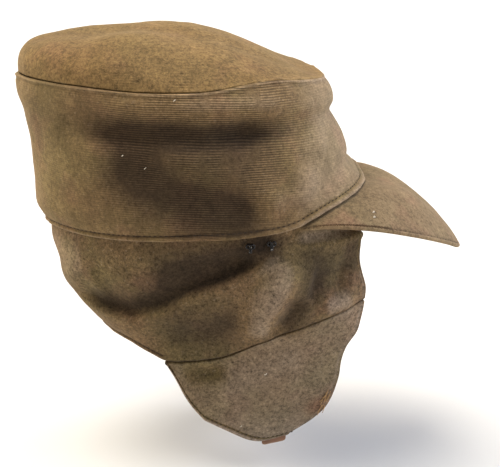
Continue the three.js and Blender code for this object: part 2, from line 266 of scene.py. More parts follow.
def add_node(tree: NodeTree, kind: str, inputs: Mapping[Any, Any] | None = None, **settings: Any) -> Node:
    """Adds a node with its settings, values and links.

    Args:
        tree: The tree that gets the node.
        kind: The node's type.
        inputs: What goes into its sockets, by name or number: another node's output, or a value.
        **settings: The node's own settings.

    Returns:
        The node.
    """
    node = tree.nodes.new(kind)
    for name, value in settings.items():
        setattr(node, name, value)
    for key, value in (inputs or {}).items():
        if isinstance(value, NodeSocket):
            tree.links.new(value, node.inputs[key])
        else:
            node.inputs[key].default_value = value
    return node


@dataclass(frozen=True)
class Finish:
    """A finish: a named material that ends in one surface shader."""

    name: str

    def sockets(self, tree: NodeTree, place: NodeSocket) -> dict[str, Any]:
        """Returns what goes into the surface shader's sockets, by the place on the object."""
        raise NotImplementedError

    def build(self) -> Material:
        """Builds the finish.

        Returns:
            Its material.
        """
        material = bpy.data.materials.new(self.name)
        material.use_nodes = True
        tree = material.node_tree
        tree.nodes.clear()
        place = add_node(tree, "ShaderNodeTexCoord").outputs["Object"]
        shader = add_node(tree, "ShaderNodeBsdfPrincipled", self.sockets(tree, place))
        add_node(tree, "ShaderNodeOutputMaterial", {"Surface": shader.outputs["BSDF"]})
        return material


@dataclass(frozen=True)
class TintPatch:
    """A round patch of another colour, in mm. Its core, a share of its radius, has its full strength."""

    middle: Triple
    radius: float
    colour: str
    strength: float
    core: float = 0.2


@dataclass(frozen=True)
class WoolSerge(Finish):
    """Wool serge, woven with a ribbed face and napped: matt, grainy and slightly hairy.

    The nap hides most ribs, which show in rows where it is worn off. The yarn is a blend of olive, straw and
    brown fibres, so the cloth is flecked. Ridges are paler, from wear and painted highlight, and creases are
    darker, from grime and painted shade.
    """

    ground: str
    olive: str
    russet: str
    # The pale colour of flecks, wear and painted highlight, then the dark colour of grime and painted shade.
    faded: str
    grime_and_shade: str
    rib_pitch: float = 1.3  # The finest that shows at the main camera: the real ribs may be finer.
    rib_way: Triple = (0.03, 0.0, 1.0)
    rib_contrast: float = 0.2
    rib_height: float = 0.25
    rib_sway: float = 1.4
    rib_least: float = 0.15
    rib_bare: Pair = (0.46, 0.6)
    rib_middle: Pair = (2.0, 56.0)
    rib_reach: Pair = (74.0, 34.0)
    grain_size: float = 2.4
    grain_contrast: float = 0.75
    mottle: float = 0.16
    bump: float = 0.3
    patches: tuple[TintPatch, ...] = ()

    def sockets(self, tree: NodeTree, place: NodeSocket) -> dict[str, Any]:
        """Draws the cloth.

        Args:
            tree: The material's tree.
            place: The place on the object.

        Returns:
            What goes into the surface shader's sockets.
        """
        ribs, grain = self.weave(tree, place)
        height = add_node(
            tree, "ShaderNodeMath", {0: ribs, 1: self.rib_height, 2: grain}, operation="MULTIPLY_ADD"
        ).outputs[0]
        relief = {"Strength": 0.8, "Distance": self.bump * MM, "Height": height}
        bump = add_node(tree, "ShaderNodeBump", relief)
        return {
            "Base Color": self.colour(tree, place, ribs, grain),
            "Roughness": 0.95,
            "Specular IOR Level": 0.2,
            "Sheen Weight": 0.12,
            "Sheen Roughness": 0.5,
            "Sheen Tint": linear("#c2ab88"),
            "Normal": bump.outputs["Normal"],
        }

    def weave(self, tree: NodeTree, place: NodeSocket) -> tuple[NodeSocket, NodeSocket]:
        """Draws the ribs where the nap is worn off, and the nap's grain.

        Args:
            tree: The material's tree.
            place: The place on the object.

        Returns:
            The ribs' height from -1 to 1, and the grain's from 0 to 1.
        """
        # Clouds, each with its size in mm, its detail and its roughness.
        drift, worn_off, grain = (
            add_node(
                tree,
                "ShaderNodeTexNoise",
                {"Vector": place, "Scale": 1 / (size * MM), "Detail": detail, "Roughness": roughness},
            ).outputs["Fac"]
            for size, detail, roughness in ((30, 2.0, 0.5), (21, 4.0, 0.7), (self.grain_size, 2.0, 1.0))
        )
        along = add_node(tree, "ShaderNodeVectorMath", {0: place, 1: self.rib_way}, operation="DOT_PRODUCT")
        swaying = {0: drift, 1: self.rib_sway * MM, 2: along.outputs["Value"]}
        wave = add_node(tree, "ShaderNodeMath", swaying, operation="MULTIPLY_ADD")
        turns = 2 * math.pi / (self.rib_pitch * MM)
        wave = add_node(tree, "ShaderNodeMath", {0: wave.outputs[0], 1: turns}, operation="MULTIPLY")
        wave = add_node(tree, "ShaderNodeMath", {0: wave.outputs[0]}, operation="SINE")
        bare = add_node(
            tree,
            "ShaderNodeMapRange",
            {"Value": worn_off, "From Min": self.rib_bare[0], "From Max": self.rib_bare[1]},
            interpolation_type="SMOOTHSTEP",
        )
        side_on = add_node(tree, "ShaderNodeVectorMath", {0: place, 1: (1.0, 0.0, 1.0)}, operation="MULTIPLY")
        ends = {0: side_on.outputs[0], 1: (self.rib_middle[0] * MM, 0.0, self.rib_middle[1] * MM)}
        apart = add_node(tree, "ShaderNodeVectorMath", ends, operation="DISTANCE")
        near = add_node(
            tree,
            "ShaderNodeMapRange",
            {
                "Value": apart.outputs["Value"],
                "From Min": self.rib_reach[0] * MM,
                "From Max": self.rib_reach[1] * MM,
                "To Min": self.rib_least,
            },
            interpolation_type="SMOOTHSTEP",
        )
        for share in (bare.outputs["Result"], near.outputs["Result"]):
            wave = add_node(tree, "ShaderNodeMath", {0: wave.outputs[0], 1: share}, operation="MULTIPLY")
        return wave.outputs[0], grain

    def colour(self, tree: NodeTree, place: NodeSocket, ribs: NodeSocket, grain: NodeSocket) -> NodeSocket:
        """Mixes the yarn's colours with the wear, the grime, and the painted highlight and shade.

        Args:
            tree: The material's tree.
            place: The place on the object.
            ribs: The ribs' height.
            grain: The grain's height.

        Returns:
            The colour.
        """
        wear = add_node(tree, "ShaderNodeAttribute", attribute_name=WEAR_AND_SHADING).outputs["Fac"]
        # Clouds, each with its seed, its size in mm and its detail.
        olive, russet, mottled, flecked = (
            add_node(
                tree,
                "ShaderNodeTexNoise",
                {"Vector": place, "W": seed, "Scale": 1 / (size * MM), "Detail": detail},
                noise_dimensions="4D",
            ).outputs["Fac"]
            for seed, size, detail in ((1.0, 55, 3.0), (2.0, 24, 3.0), (3.0, 9, 3.0), (4.0, 1.7, 1.0))
        )
        # Each layer's driver, where it sets in and where it is full, its strength and its colour.
        layers = [
            (olive, 0.42, 0.6, 1.0, self.olive),
            (russet, 0.52, 0.7, 0.8, self.russet),
            (flecked, 0.6, 0.74, 0.25, self.faded),
            # Wear and painted highlight pale the cloth; grime and painted shade darken it.
            (wear, 0.55, 1.0, 0.85, self.faded),
            (wear, 0.5, 0.0, 0.9, self.grime_and_shade),
        ]
        for patch in self.patches:
            middle = tuple(MM * c for c in patch.middle)
            apart = add_node(tree, "ShaderNodeVectorMath", {0: place, 1: middle}, operation="DISTANCE")
            reach = patch.radius * MM
            layers.append((apart.outputs["Value"], reach, patch.core * reach, patch.strength, patch.colour))
        colour = linear(self.ground)
        for value, none, full, strength, tint in layers:
            limits = {"Value": value, "From Min": none, "From Max": full, "To Max": strength}
            share = add_node(tree, "ShaderNodeMapRange", limits).outputs["Result"]
            mix = add_node(tree, "ShaderNodeMix", {0: share, 6: colour, 7: linear(tint)}, data_type="RGBA")
            colour = mix.outputs[2]
        # Each tone's driver, its lowest and its highest value, and its contrast.
        tones = [
            (ribs, -1.0, 1.0, self.rib_contrast),
            (grain, 0.0, 1.0, self.grain_contrast),
            (mottled, 0.3, 0.7, self.mottle),
        ]
        for value, low, high, contrast in tones:
            limits = {"From Min": low, "From Max": high, "To Min": 1 - contrast, "To Max": 1 + contrast}
            tone = add_node(tree, "ShaderNodeMapRange", {"Value": value, **limits}).outputs["Result"]
            scaled = add_node(tree, "ShaderNodeVectorMath", {0: colour, "Scale": tone}, operation="SCALE")
            colour = scaled.outputs[0]
        return colour


@dataclass(frozen=True)
class TannedLeather(Finish):
    """Vegetable-tanned leather, worn: reddish brown, with fine grain, rubbed paler at its edges."""

    name: str = "vegetable_tanned_leather"
    base: str = "#8c6142"
    rubbed: str = "#b08a68"
    dark: str = "#5d3c28"

    def sockets(self, tree: NodeTree, place: NodeSocket) -> dict[str, Any]:
        """Draws the leather.

        Args:
            tree: The material's tree.
            place: The place on the object.

        Returns:
            What goes into the surface shader's sockets.
        """
        grain = add_node(tree, "ShaderNodeTexVoronoi", {"Vector": place, "Scale": 1 / (1.1 * MM)})
        stains = add_node(tree, "ShaderNodeTexNoise", {"Vector": place, "Scale": 1 / (7 * MM), "Detail": 4.0})
        wear = add_node(tree, "ShaderNodeAttribute", attribute_name=WEAR_AND_SHADING).outputs["Fac"]
        worn = add_node(tree, "ShaderNodeMapRange", {"Value": wear, "From Min": 0.5, "To Max": 0.8})
        colour = linear(self.base)
        for share, tint in ((stains.outputs["Fac"], self.dark), (worn.outputs["Result"], self.rubbed)):
            mix = add_node(tree, "ShaderNodeMix", {0: share, 6: colour, 7: linear(tint)}, data_type="RGBA")
            colour = mix.outputs[2]
        height = grain.outputs["Distance"]
        bump = add_node(tree, "ShaderNodeBump", {"Strength": 0.5, "Distance": 0.15 * MM, "Height": height})
        return {"Base Color": colour, "Roughness": 0.62, "Normal": bump.outputs["Normal"]}


@dataclass(frozen=True)
class Japanned(Finish):
    """Steel wire with baked black enamel: dark and glossy, chipped to bare metal in places."""

    name: str = "black_enamelled_steel_wire"
    enamel: str = "#120f0d"
    steel: str = "#8d8a86"

    def sockets(self, tree: NodeTree, place: NodeSocket) -> dict[str, Any]:
        """Draws the enamel and its chips.

        Args:
            tree: The material's tree.
            place: The place on the object.

        Returns:
            What goes into the surface shader's sockets.
        """
        cloud = {"Vector": place, "Scale": 1 / (1.2 * MM), "Detail": 2.0}
        chips = add_node(tree, "ShaderNodeTexNoise", cloud)
        bare = add_node(
            tree, "ShaderNodeMapRange", {"Value": chips.outputs["Fac"], "From Min": 0.62, "From Max": 0.68}
        ).outputs["Result"]
        colours = {0: bare, 6: linear(self.enamel), 7: linear(self.steel)}
        colour = add_node(tree, "ShaderNodeMix", colours, data_type="RGBA").outputs[2]
        return {"Base Color": colour, "Metallic": bare, "Roughness": 0.35, "Specular IOR Level": 0.3}


@dataclass(frozen=True)
class SpunThread(Finish):
    """Spun thread of cotton or wool: matt, with light and dark plies along it."""

    light: str
    dark: str

    def sockets(self, tree: NodeTree, place: NodeSocket) -> dict[str, Any]:
        """Draws the thread's plies.

        Args:
            tree: The material's tree.
            place: The place on the object.

        Returns:
            What goes into the surface shader's sockets.
        """
        cloud = {"Vector": place, "Scale": 1 / (0.6 * MM), "Detail": 2.0}
        plies = add_node(tree, "ShaderNodeTexNoise", cloud)
        colours = {0: plies.outputs["Fac"], 6: linear(self.dark), 7: linear(self.light)}
        colour = add_node(tree, "ShaderNodeMix", colours, data_type="RGBA").outputs[2]
        return {"Base Color": colour, "Roughness": 0.85, "Specular IOR Level": 0.3}


@dataclass(frozen=True)
class MattPaper(Finish):
    """Matt white background paper: plain, and too smooth for its tooth to show."""

    name: str = "matt_background_paper"
    colour: str = "#cfcfcf"

    def sockets(self, tree: NodeTree, place: NodeSocket) -> dict[str, Any]:
        """Returns what goes into the surface shader's sockets: the same all over."""
        return {"Base Color": linear(self.colour), "Roughness": 0.8, "Specular IOR Level": 0.2}


# --- Cloth pieces ----------------------------------------------------------------------------------------


def spread(length: Array, low: Sequence[float], high: Sequence[float], between: int) -> Array:
    """Spreads places between two borders: at fixed distances near them and even between those.

    Args:
        length: The whole way's length in mm, for each column.
        low: Distances in mm from the first border, from 0 up.
        high: Distances in mm from the second border, from 0 up.
        between: How many more places lie between them.

    Returns:
        Shares of the way, one row for each place.
    """
    low_marks, high_marks = np.array(low)[:, None], np.array(high)[::-1, None]
    near = low_marks * np.minimum(1 / length, 0.4 / max(low))
    far = 1 - high_marks * np.minimum(1 / length, 0.4 / max(high))
    shares = np.linspace(0, 1, between + 2)[1:-1, None]
    return np.vstack([near, lerp(near[-1], far[0], shares), far])


def rounding(distance: Array, radius: float) -> Array:
    """Returns a quarter-round profile: 0 at a border and 1 past its radius."""
    return np.sqrt(1 - (1 - np.clip(distance / radius, 0, 1)) ** 2)


def lengths_along(points: Array, axis: int) -> Array:
    """Works out how far each point of a grid lies from the first one in its line.

    Args:
        points: The grid, with x, y and z last.
        axis: The grid's axis that the lines follow.

    Returns:
        The way in mm along the line to each point.
    """
    steps = np.linalg.norm(np.diff(points, axis=axis), axis=-1)
    start = np.zeros_like(steps.take([0], axis=axis))
    return np.concatenate([start, np.cumsum(steps, axis=axis)], axis=axis)


class Border(Enum):
    """A cloth piece's borders, by the distance that its lay keeps for each."""

    FOOT = "foot"
    TOP = "top"
    FRONT = "front"
    ENDS = "ends"


@dataclass
class Lay:
    """How a cloth piece lies: its grid, middle layer, and each point's distance from its borders, in mm."""

    u: Array
    v: Array
    middle: Array
    normal: Array
    left: Array
    right: Array
    foot: Array
    top: Array
    front: Array | None = None

    @property
    def ends(self) -> Array:
        """Returns the distance from the nearer of the lower and the upper border."""
        return np.minimum(self.foot, self.top)

    def distance(self, border: Border) -> Array:
        """Returns each point's distance from a border, in mm."""
        return getattr(self, border.value)


@dataclass(frozen=True)
class Rise:
    """A smooth rise along a border, or a groove if its height is negative.

    It is highest at its middle, a distance in mm from the border, and fades over its width.
    """

    border: Border
    middle: float
    width: float
    height: float

    def over(self, lay: Lay) -> Array:
        """Returns the rise at each point."""
        return self.height * np.exp(-(((lay.distance(self.border) - self.middle) / self.width) ** 2))


@dataclass(frozen=True)
class Bumps:
    """Smooth random bumps: their height and size in mm, and the seed that picks them.

    Upright is 1 for round bumps, and less stretches them upwards into puckers. A reach in mm keeps them to
    the cloth along a border.
    """

    height: float
    size: float
    seed: int
    upright: float = 1.0
    border: Border = Border.FOOT
    reach: float = math.inf

    def over(self, lay: Lay) -> Array:
        """Returns the bumps at each point."""
        bumps = self.height * rumple(lay.middle * (1, 1, self.upright), self.size, self.seed)
        return bumps * np.exp(-lay.distance(self.border) / self.reach)


def total(parts: Sequence[Rise | Bumps], lay: Lay) -> Array:
    """Returns what rises and bumps add up to at each point."""
    return sum((part.over(lay) for part in parts), np.zeros_like(lay.u))


@dataclass
class ClothPiece:
    """A piece of cloth as a closed wall between two faces, which meet in rounded borders.

    A subclass gives its outer face. Big relief moves the whole wall, and fine relief only the outside: ridges
    and puckers along its seams, and unevenness that sets in over a reach from its sewn border. Its wear and
    painted shading are even, but for its creases, darkened with grime and painted shade, the lines of painted
    shade, painted highlight and wear, and the rubs and painted shade along its borders.
    """

    name: str = ""
    stands_for: str = ""
    slot: str = "serge"
    thickness: float = CLOTH
    coarse: tuple[int, int] = (61, 31)
    columns: int = 200
    rows: int = 40
    foot_marks: tuple[float, ...] = (0, 0.15, 0.5, 1, 2)
    top_marks: tuple[float, ...] = (0, 0.15, 0.5, 1, 2)
    side_marks: tuple[float, ...] = (0, 0.15, 0.5, 1, 2)
    border_radius: float = 1.1
    ring: bool = False
    domed: bool = False
    level_normals: bool = True
    ridges: tuple[Rise, ...] = ()
    puckers: tuple[Bumps, ...] = ()
    uneven: tuple[Bumps, ...] = ()
    sewn: Border = Border.FOOT
    sewn_reach: Pair = (2, 12)
    even_wear: float = 0.5
    crease_scale: float = 14
    crease_wear: Pair = (-0.4, 0.3)
    worn: tuple[Fold, ...] = ()
    rubs_and_shade: tuple[Rise, ...] = ()
    inside_wear: float = 0.4
    outer: Array | None = field(default=None, init=False)
    lay: Lay | None = field(default=None, init=False)

    def face(self, u: Array, v: Array) -> Array:
        """Returns the outer face's points, in mm."""
        raise NotImplementedError

    def big_relief(self, u: Array, v: Array) -> Array:
        """Returns how far folds move the whole wall out, in mm."""
        return np.zeros_like(u)

    def free(self, lay: Lay) -> Array:
        """Returns how freely the cloth lies: 0 along its sewn border and 1 well away from it."""
        return smoothstep(lay.distance(self.sewn), *self.sewn_reach)

    def fine_relief(self, lay: Lay) -> Array:
        """Returns how far the outside stands out beyond the face, in mm."""
        return total(self.ridges + self.puckers, lay) + self.free(lay) * total(self.uneven, lay)

    def dents(self, lay: Lay) -> Array:
        """Returns how far the folds that grime, rubbing, painted shade and painted highlight follow stand
        out, in mm.
        """
        return self.big_relief(lay.u, lay.v)

    def wear(self, lay: Lay) -> Array:
        """Returns the wear and painted shading: 0 in creases, with grime and painted shade, 0.5 in between,
        and 1 on ridges, rubbed and with painted highlight.
        """
        # Creases are darkened and ridges paled by their depth: partly grime and rubbing, partly painted shade
        # and painted highlight.
        creases = np.clip(self.dents(lay) / self.crease_scale, *self.crease_wear)
        return self.even_wear + creases + shade_and_wear_marks(self.worn, lay.middle) + total(self.rubs_and_shade, lay)

    def spread_grid(self) -> tuple[Array, Array]:
        """Spreads the piece's grid, close along its borders and even between them.

        Returns:
            The grid's shares across (u) and up (v), both as rows by columns.
        """
        coarse_u, coarse_v = (np.linspace(0, 1, count) for count in self.coarse)
        points = self.face(*np.meshgrid(coarse_u, coarse_v))
        heights = lengths_along(points, 0)[-1]
        width = lengths_along(points, 1)[:, -1].mean()
        if self.ring:
            across = np.linspace(0, 1, self.columns + 1)
        else:
            across = spread(np.array([width]), self.side_marks, self.side_marks, self.columns)[:, 0]
        height = np.interp(across, coarse_u, heights)
        up = spread(height, self.foot_marks, (0, 1) if self.domed else self.top_marks, self.rows)
        return np.broadcast_to(across, up.shape).copy(), up

    def lay_out(self) -> None:
        """Works out where the piece's points lie."""
        u, v = self.spread_grid()
        normal = outward(self.face, u, v, self.level_normals)
        middle = self.face(u, v) + normal * (self.big_relief(u, v) - self.thickness / 2)[..., None]
        across, up = lengths_along(middle, 1), lengths_along(middle, 0)
        self.lay = Lay(u, v, middle, normal, across, across[:, -1:] - across, up, up[-1:] - up)

    def edge_profile(self) -> Array:
        """Works out how the wall thins to its rounded borders.

        Returns:
            The wall's share of its full thickness, which falls to 0 at each border.
        """
        profile = rounding(self.lay.foot, self.border_radius)
        if not self.domed:
            profile = profile * rounding(self.lay.top, self.border_radius)
        if not self.ring:
            sides = rounding(self.lay.left, self.border_radius) * rounding(self.lay.right, self.border_radius)
            profile = profile * sides
        return profile

    def build(self, material: Material) -> Object:
        """Builds the piece as a mesh object.

        Args:
            material: Its finish.

        Returns:
            The object, which rides on the part's body and stands for its CAD node.
        """
        self.lay_out()
        lay, profile = self.lay, self.edge_profile()
        half = self.thickness / 2
        out = (half + self.fine_relief(lay)) * profile
        self.outer = lay.middle + lay.normal * out[..., None]
        inner = lay.middle - lay.normal * (half * profile)[..., None]
        rows, across = lay.u.shape
        width = across - 1 if self.ring else across
        index = np.arange(rows * width).reshape(rows, width)
        free = np.zeros((rows, width), dtype=bool)
        upwards = slice(1, rows if self.domed else rows - 1)
        sideways = slice(0, width) if self.ring else slice(1, width - 1)
        free[upwards, sideways] = True
        inner_index = index.copy()
        inner_index[free] = rows * width + np.arange(free.sum())
        points = np.vstack([self.outer[:, :width].reshape(-1, 3), inner[:, :width][free]])
        wear = self.wear(lay)[:, :width]
        worn = np.concatenate([wear.ravel(), np.full(free.sum(), self.inside_wear)])
        if self.domed:
            index[-1], inner_index[-1] = index[-1, 0], inner_index[-1, 0]
        if self.ring:
            index = np.hstack([index, index[:, :1]])
            inner_index = np.hstack([inner_index, inner_index[:, :1]])

        def corners(table: Array) -> Array:
            """Returns the four corners of each cell of a grid of numbers, anticlockwise from outside."""
            cells = (table[:-1, :-1], table[:-1, 1:], table[1:, 1:], table[1:, :-1])
            return np.stack(cells, axis=-1).reshape(-1, 4)

        faces = np.vstack([corners(index), corners(inner_index)[:, ::-1]])
        return tied(mesh_piece(self.name, points * MM, faces, worn, material), self.slot, self.stands_for)


def placed(name: str, data: ID) -> Object:
    """Adds an object to the scene.

    Args:
        name: Its name.
        data: Its mesh, curve, light or camera.

    Returns:
        The object.
    """
    thing = bpy.data.objects.new(name, data)
    bpy.context.scene.collection.objects.link(thing)
    return thing


def tied(piece: Object, slot: str, stands_for: str = "") -> Object:
    """Ties a finished piece to the part's body and hides the CAD node that it replaces.

    Args:
        piece: The piece.
        slot: The slot; not used.
        stands_for: The CAD node that it replaces, if any.

    Returns:
        The piece.
    """
    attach(piece, "root")
    if stands_for:
        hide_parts(stands_for)
    return piece


def mesh_piece(name: str, points: Array, faces: Array, worn: Array, material: Material) -> Object:
    """Makes a smooth mesh object with its wear and painted shading.

    Args:
        name: The object's name.
        points: Its vertices in metres.
        faces: Its faces as four vertices, two of which may be the same at a pole.
        worn: Each vertex's wear and painted shading.
        material: Its finish.

    Returns:
        The object.
    """
    polygons = []
    for corners in faces.tolist():
        polygon = [corner for place, corner in enumerate(corners) if corner != corners[place - 1]]
        if len(polygon) > 2:
            polygons.append(polygon)
    used = sorted({corner for polygon in polygons for corner in polygon})
    renumbered = dict(zip(used, range(len(used))))
    mesh = bpy.data.meshes.new(name)
    mesh.from_pydata(points[used].tolist(), [], [[renumbered[c] for c in polygon] for polygon in polygons])
    mesh.polygons.foreach_set("use_smooth", [True] * len(mesh.polygons))
    attribute = mesh.attributes.new(WEAR_AND_SHADING, "FLOAT", "POINT")
    attribute.data.foreach_set("value", worn[used].astype(np.float32))
    mesh.materials.append(material)
    mesh.validate()
    return placed(name, mesh)


@dataclass(frozen=True)
class CrownShape:
    """The crown's side face without its folds, which the top and the peak are fitted to."""

    sections: SmoothTable = SmoothTable(
        "level rear front half_width fullness rear_fullness",
        (0.0, -101.1, 100.5, 80, 2.5, 2.1),
        (0.06, -103.3, 97.8, 80.6, 2.5, 2.15),
        (0.13, -106, 93, 81.3, 2.45, 2.2),
        (0.2, -106.3, 89.6, 82, 2.4, 2.2),
        (0.32, -106.6, 89.4, 82, 2.3, 2.2),
        (0.45, -107, 86.7, 81.5, 2.25, 2.2),
        (0.56, -107.5, 82, 81, 2.2, 2.2),
        (0.68, -109, 78, 80, 2.2, 2.2),
        (0.78, -110.6, 80.4, 79, 2.15, 2.15),
        (0.89, -113.2, 79.2, 77, 2.1, 2.1),
        (1.0, -113.5, 74.5, 75, 2.05, 2.05),
    )
    edges: SmoothTable = SmoothTable(
        "angle lower upper",
        (0, 15.5, 79.5),
        (16, 17, 81),
        (32, 14.8, 83),
        (46, 10.8, 85),
        (54, 7, 85.2),
        (60, 3.6, 84.4),
        (75, 0, 81.3),
        (95, -2.5, 81),
        (120, -4.6, 83.2),
        (150, -6, 84),
        (180, -10, 83),
    )

    @staticmethod
    def degrees(turn: Array) -> Array:
        """Returns the angle from the front, 0 to 180 on either side, for a share of a whole turn."""
        return 180 - np.abs(180 - 360 * (turn - np.floor(turn)))

    def face(self, turn: Array, level: Array) -> Array:
        """Works out the side's points.

        Args:
            turn: Shares of a whole turn, from the front.
            level: Shares of the way from the lower edge up to the top seam.

        Returns:
            The points, in mm.
        """
        section = self.sections.at(level)
        middle = (section.rear + section.front) / 2
        x, y = oval(section, section.front, middle, turn * 2 * math.pi)
        edges = self.edges.at(self.degrees(turn))
        return np.stack([x, y, lerp(edges.lower, edges.upper, level)], axis=-1)


CROWN = CrownShape()


@dataclass
class CrownSide(ClothPiece):
    """The crown's side band, with its turned and stitched lower edge and the folds of long wear."""

    name: str = "dressed_crown_side"
    stands_for: str = "crown_side"
    columns: int = 420
    rows: int = 40
    foot_marks: tuple[float, ...] = (0, 0.15, 0.5, 1, 1.7, 2.5, 3.1, 3.7, 4.3, 4.9, 5.6, 6.8, 8.4)
    top_marks: tuple[float, ...] = (0, 0.15, 0.5, 1, 1.6, 2.3, 3.2, 4.4, 6)
    ring: bool = True
    border_radius: float = 0.8
    stitch_height: float = 3.7
    turned_edge: SmoothTable = SmoothTable(
        "height step", (0, 0.5), (1.1, 0.9), (2.2, 0.75), (3.0, 0.1), (3.7, -0.6), (4.6, -0.25), (6.4, 0)
    )
    folds: tuple[Fold, ...] = (
        Fold(((-84, 60), (-40, 56), (0, 55.5), (52, 57)), 13, -7.5, taper=32, sharp=0.42),
        Fold(((0, 56), (76, 59)), 9, -4, taper=30, sharp=0.6),
        Fold(((-66, 74), (56, 74)), 5, 2, taper=20),
        Fold(((-30, 48), (2, 38), (21, 32), (40, 20), (54, 10)), 9, 3.2, taper=16),
        Fold(((-58, 48), (-34, 34), (-14, 25), (10, 20), (42, 13)), 18, -4, taper=20),
        Fold(((62, 42), (58, 8)), 8, 3, taper=12),
        Fold(((67, 66), (71, 40)), 4, 1.6, taper=8),
    )
    # Lines of painted shade, with some grime, in the furrows, the hollows and over the middle of the side,
    # and a painted highlight on the ridge above the furrow.
    worn: tuple[Fold, ...] = (
        Fold(((-70, 58), (18, 57)), 8, -0.15, taper=36),
        Fold(((-66, 47), (54, 48)), 11, -0.2, taper=34),
        Fold(((-62, 45), (-34, 34), (-14, 27), (10, 23), (46, 16)), 18, -0.16, taper=26),
        Fold(((-50, 44), (-26, 33), (-14, 28)), 10, -0.06, taper=14),
        Fold(((-2, 16), (46, 12)), 11, -0.1, taper=20),
        Fold(((-24, 6), (46, 4)), 9, -0.22, taper=20),
        Fold(((-60, 32), (52, 28)), 30, -0.2, taper=30),
        Fold(((-104, 66), (-70, 60)), 15, -0.18, taper=8),
        Fold(((-20, 70), (50, 72)), 9, 0.16, taper=16),
    )
    hem_folds: tuple[Fold, ...] = (
        Fold(((-12, -1), (30, 1), (64, 8)), 3.4, 1.6, taper=24),
        Fold(((-12, 3.6), (20, 5.4), (45, 8.4), (66, 15)), 2.2, -1.3, taper=24),
    )
    fold_levels: Pair = (0.04, 0.2)
    ridges: tuple[Rise, ...] = (Rise(Border.TOP, 1.0, 0.7, 0.4), Rise(Border.TOP, 2.6, 1.0, -0.4))
    puckers: tuple[Bumps, ...] = (
        Bumps(0.9, 7, 3, upright=0.12, border=Border.TOP, reach=6),
        Bumps(0.6, 6, 5, upright=0.12, border=Border.FOOT, reach=6),
    )
    uneven: tuple[Bumps, ...] = (Bumps(0.9, 26, 1), Bumps(0.3, 9, 2))
    sewn_reach: Pair = (4, 14)
    crease_scale: float = 20
    crease_wear: Pair = (-0.42, 0.2)
    # Along the borders: a darker line in the stitch groove, painted shade with grime, and a paler bead and
    # top border, rubbed and painted highlight.
    rubs_and_shade: tuple[Rise, ...] = (
        Rise(Border.FOOT, 3.9, 0.9, -0.3),
        Rise(Border.FOOT, 0.8, 1.0, 0.22),
        Rise(Border.TOP, 0.8, 0.6, 0.2),
    )
    # The front paler: rubbed, and painted light.
    front_wear: float = 0.23
    front_reach: Pair = (46, 68)

    def face(self, u: Array, v: Array) -> Array:
        """Returns the outer face's points, in mm."""
        return CROWN.face(u, v)

    def big_relief(self, u: Array, v: Array) -> Array:
        """Returns how far folds move the whole wall out, in mm: not at all where the lower edge is sewn."""
        points = CROWN.face(u, v)
        return smoothstep(v, *self.fold_levels) * relief(self.folds, points[..., 0], points[..., 2])

    def fine_relief(self, lay: Lay) -> Array:
        """Returns the cloth's fine relief with its turned edge, in mm."""
        roll = relief(self.hem_folds, lay.middle[..., 0], lay.middle[..., 2])
        return super().fine_relief(lay) + self.turned_edge.at(lay.foot).step + roll

    def wear(self, lay: Lay) -> Array:
        """Returns the wear and painted shading, with the front paler: rubbed, and painted light."""
        return super().wear(lay) + self.front_wear * smoothstep(lay.middle[..., 0], *self.front_reach)


@dataclass
class CrownTop(ClothPiece):
    """The oval top panel, a dome that is full at its front and slack at its back."""

    name: str = "dressed_crown_top"
    stands_for: str = "crown_top"
    columns: int = 360
    rows: int = 52
    foot_marks: tuple[float, ...] = (0, 0.15, 0.5, 1, 1.6, 2.3, 3.2, 4.4, 6)
    ring: bool = True
    domed: bool = True
    level_normals: bool = False
    apex: Pair = (-22, 110.5)
    inset: float = 0.8
    shoulder: SmoothTable = SmoothTable(
        "angle plan slope", (0, 1.05, 3), (60, 1, 2.1), (110, 0.8, 0.9), (180, 0.66, 0.5)
    )
    border_radius: float = 0.6
    folds: tuple[Fold, ...] = (
        Fold(((-88, 20), (-66, 24)), 18, -5),
        Fold(((-92, -22), (-66, -26)), 18, -2.5),
        Fold(((-60, 0), (40, 0)), 16, 1),
        Fold(((-70, -34), (-20, -50), (30, -46)), 10, 1.2, taper=20),
        Fold(((-60, -18), (0, -26), (50, -22)), 9, -1.2, taper=20),
    )
    puckers: tuple[Bumps, ...] = (Bumps(0.8, 7, 4, upright=0.12, border=Border.FOOT, reach=6),)
    uneven: tuple[Bumps, ...] = (Bumps(1.1, 34, 6), Bumps(0.3, 10, 7))
    sewn_reach: Pair = (2, 16)
    even_wear: float = 0.55
    crease_wear: Pair = (-0.3, 0.2)
    # The seam's border paler: painted light against the shade along the seam.
    rubs_and_shade: tuple[Rise, ...] = (Rise(Border.FOOT, 0.0, 2.0, 0.2),)

    def face(self, u: Array, v: Array) -> Array:
        """Works out the outer face's points.

        Args:
            u: Shares of a whole turn, from the front.
            v: Shares of the way from the seam up to the middle.

        Returns:
            The points, in mm.
        """
        v = np.clip(v, 0, 1)
        shoulder = self.shoulder.at(CROWN.degrees(u))
        tilt = (1 - v) * math.pi / 2
        rim = CROWN.face(u, np.ones_like(u))
        rim = rim - self.inset * outward(CROWN.face, u, np.ones_like(u), True)
        reach = np.sin(tilt) ** shoulder.plan
        height = np.cos(tilt) ** shoulder.slope
        x = lerp(self.apex[0], rim[..., 0], reach)
        y = rim[..., 1] * reach
        z = lerp(rim[..., 2] + GAP, self.apex[1], height)
        return np.stack([x, y, z + relief(self.folds, x, y) * np.cos(tilt)], axis=-1)

    def dents(self, lay: Lay) -> Array:
        """Returns how far the top's folds, which its face has already, stand out in mm."""
        return relief(self.folds, lay.middle[..., 0], lay.middle[..., 1])


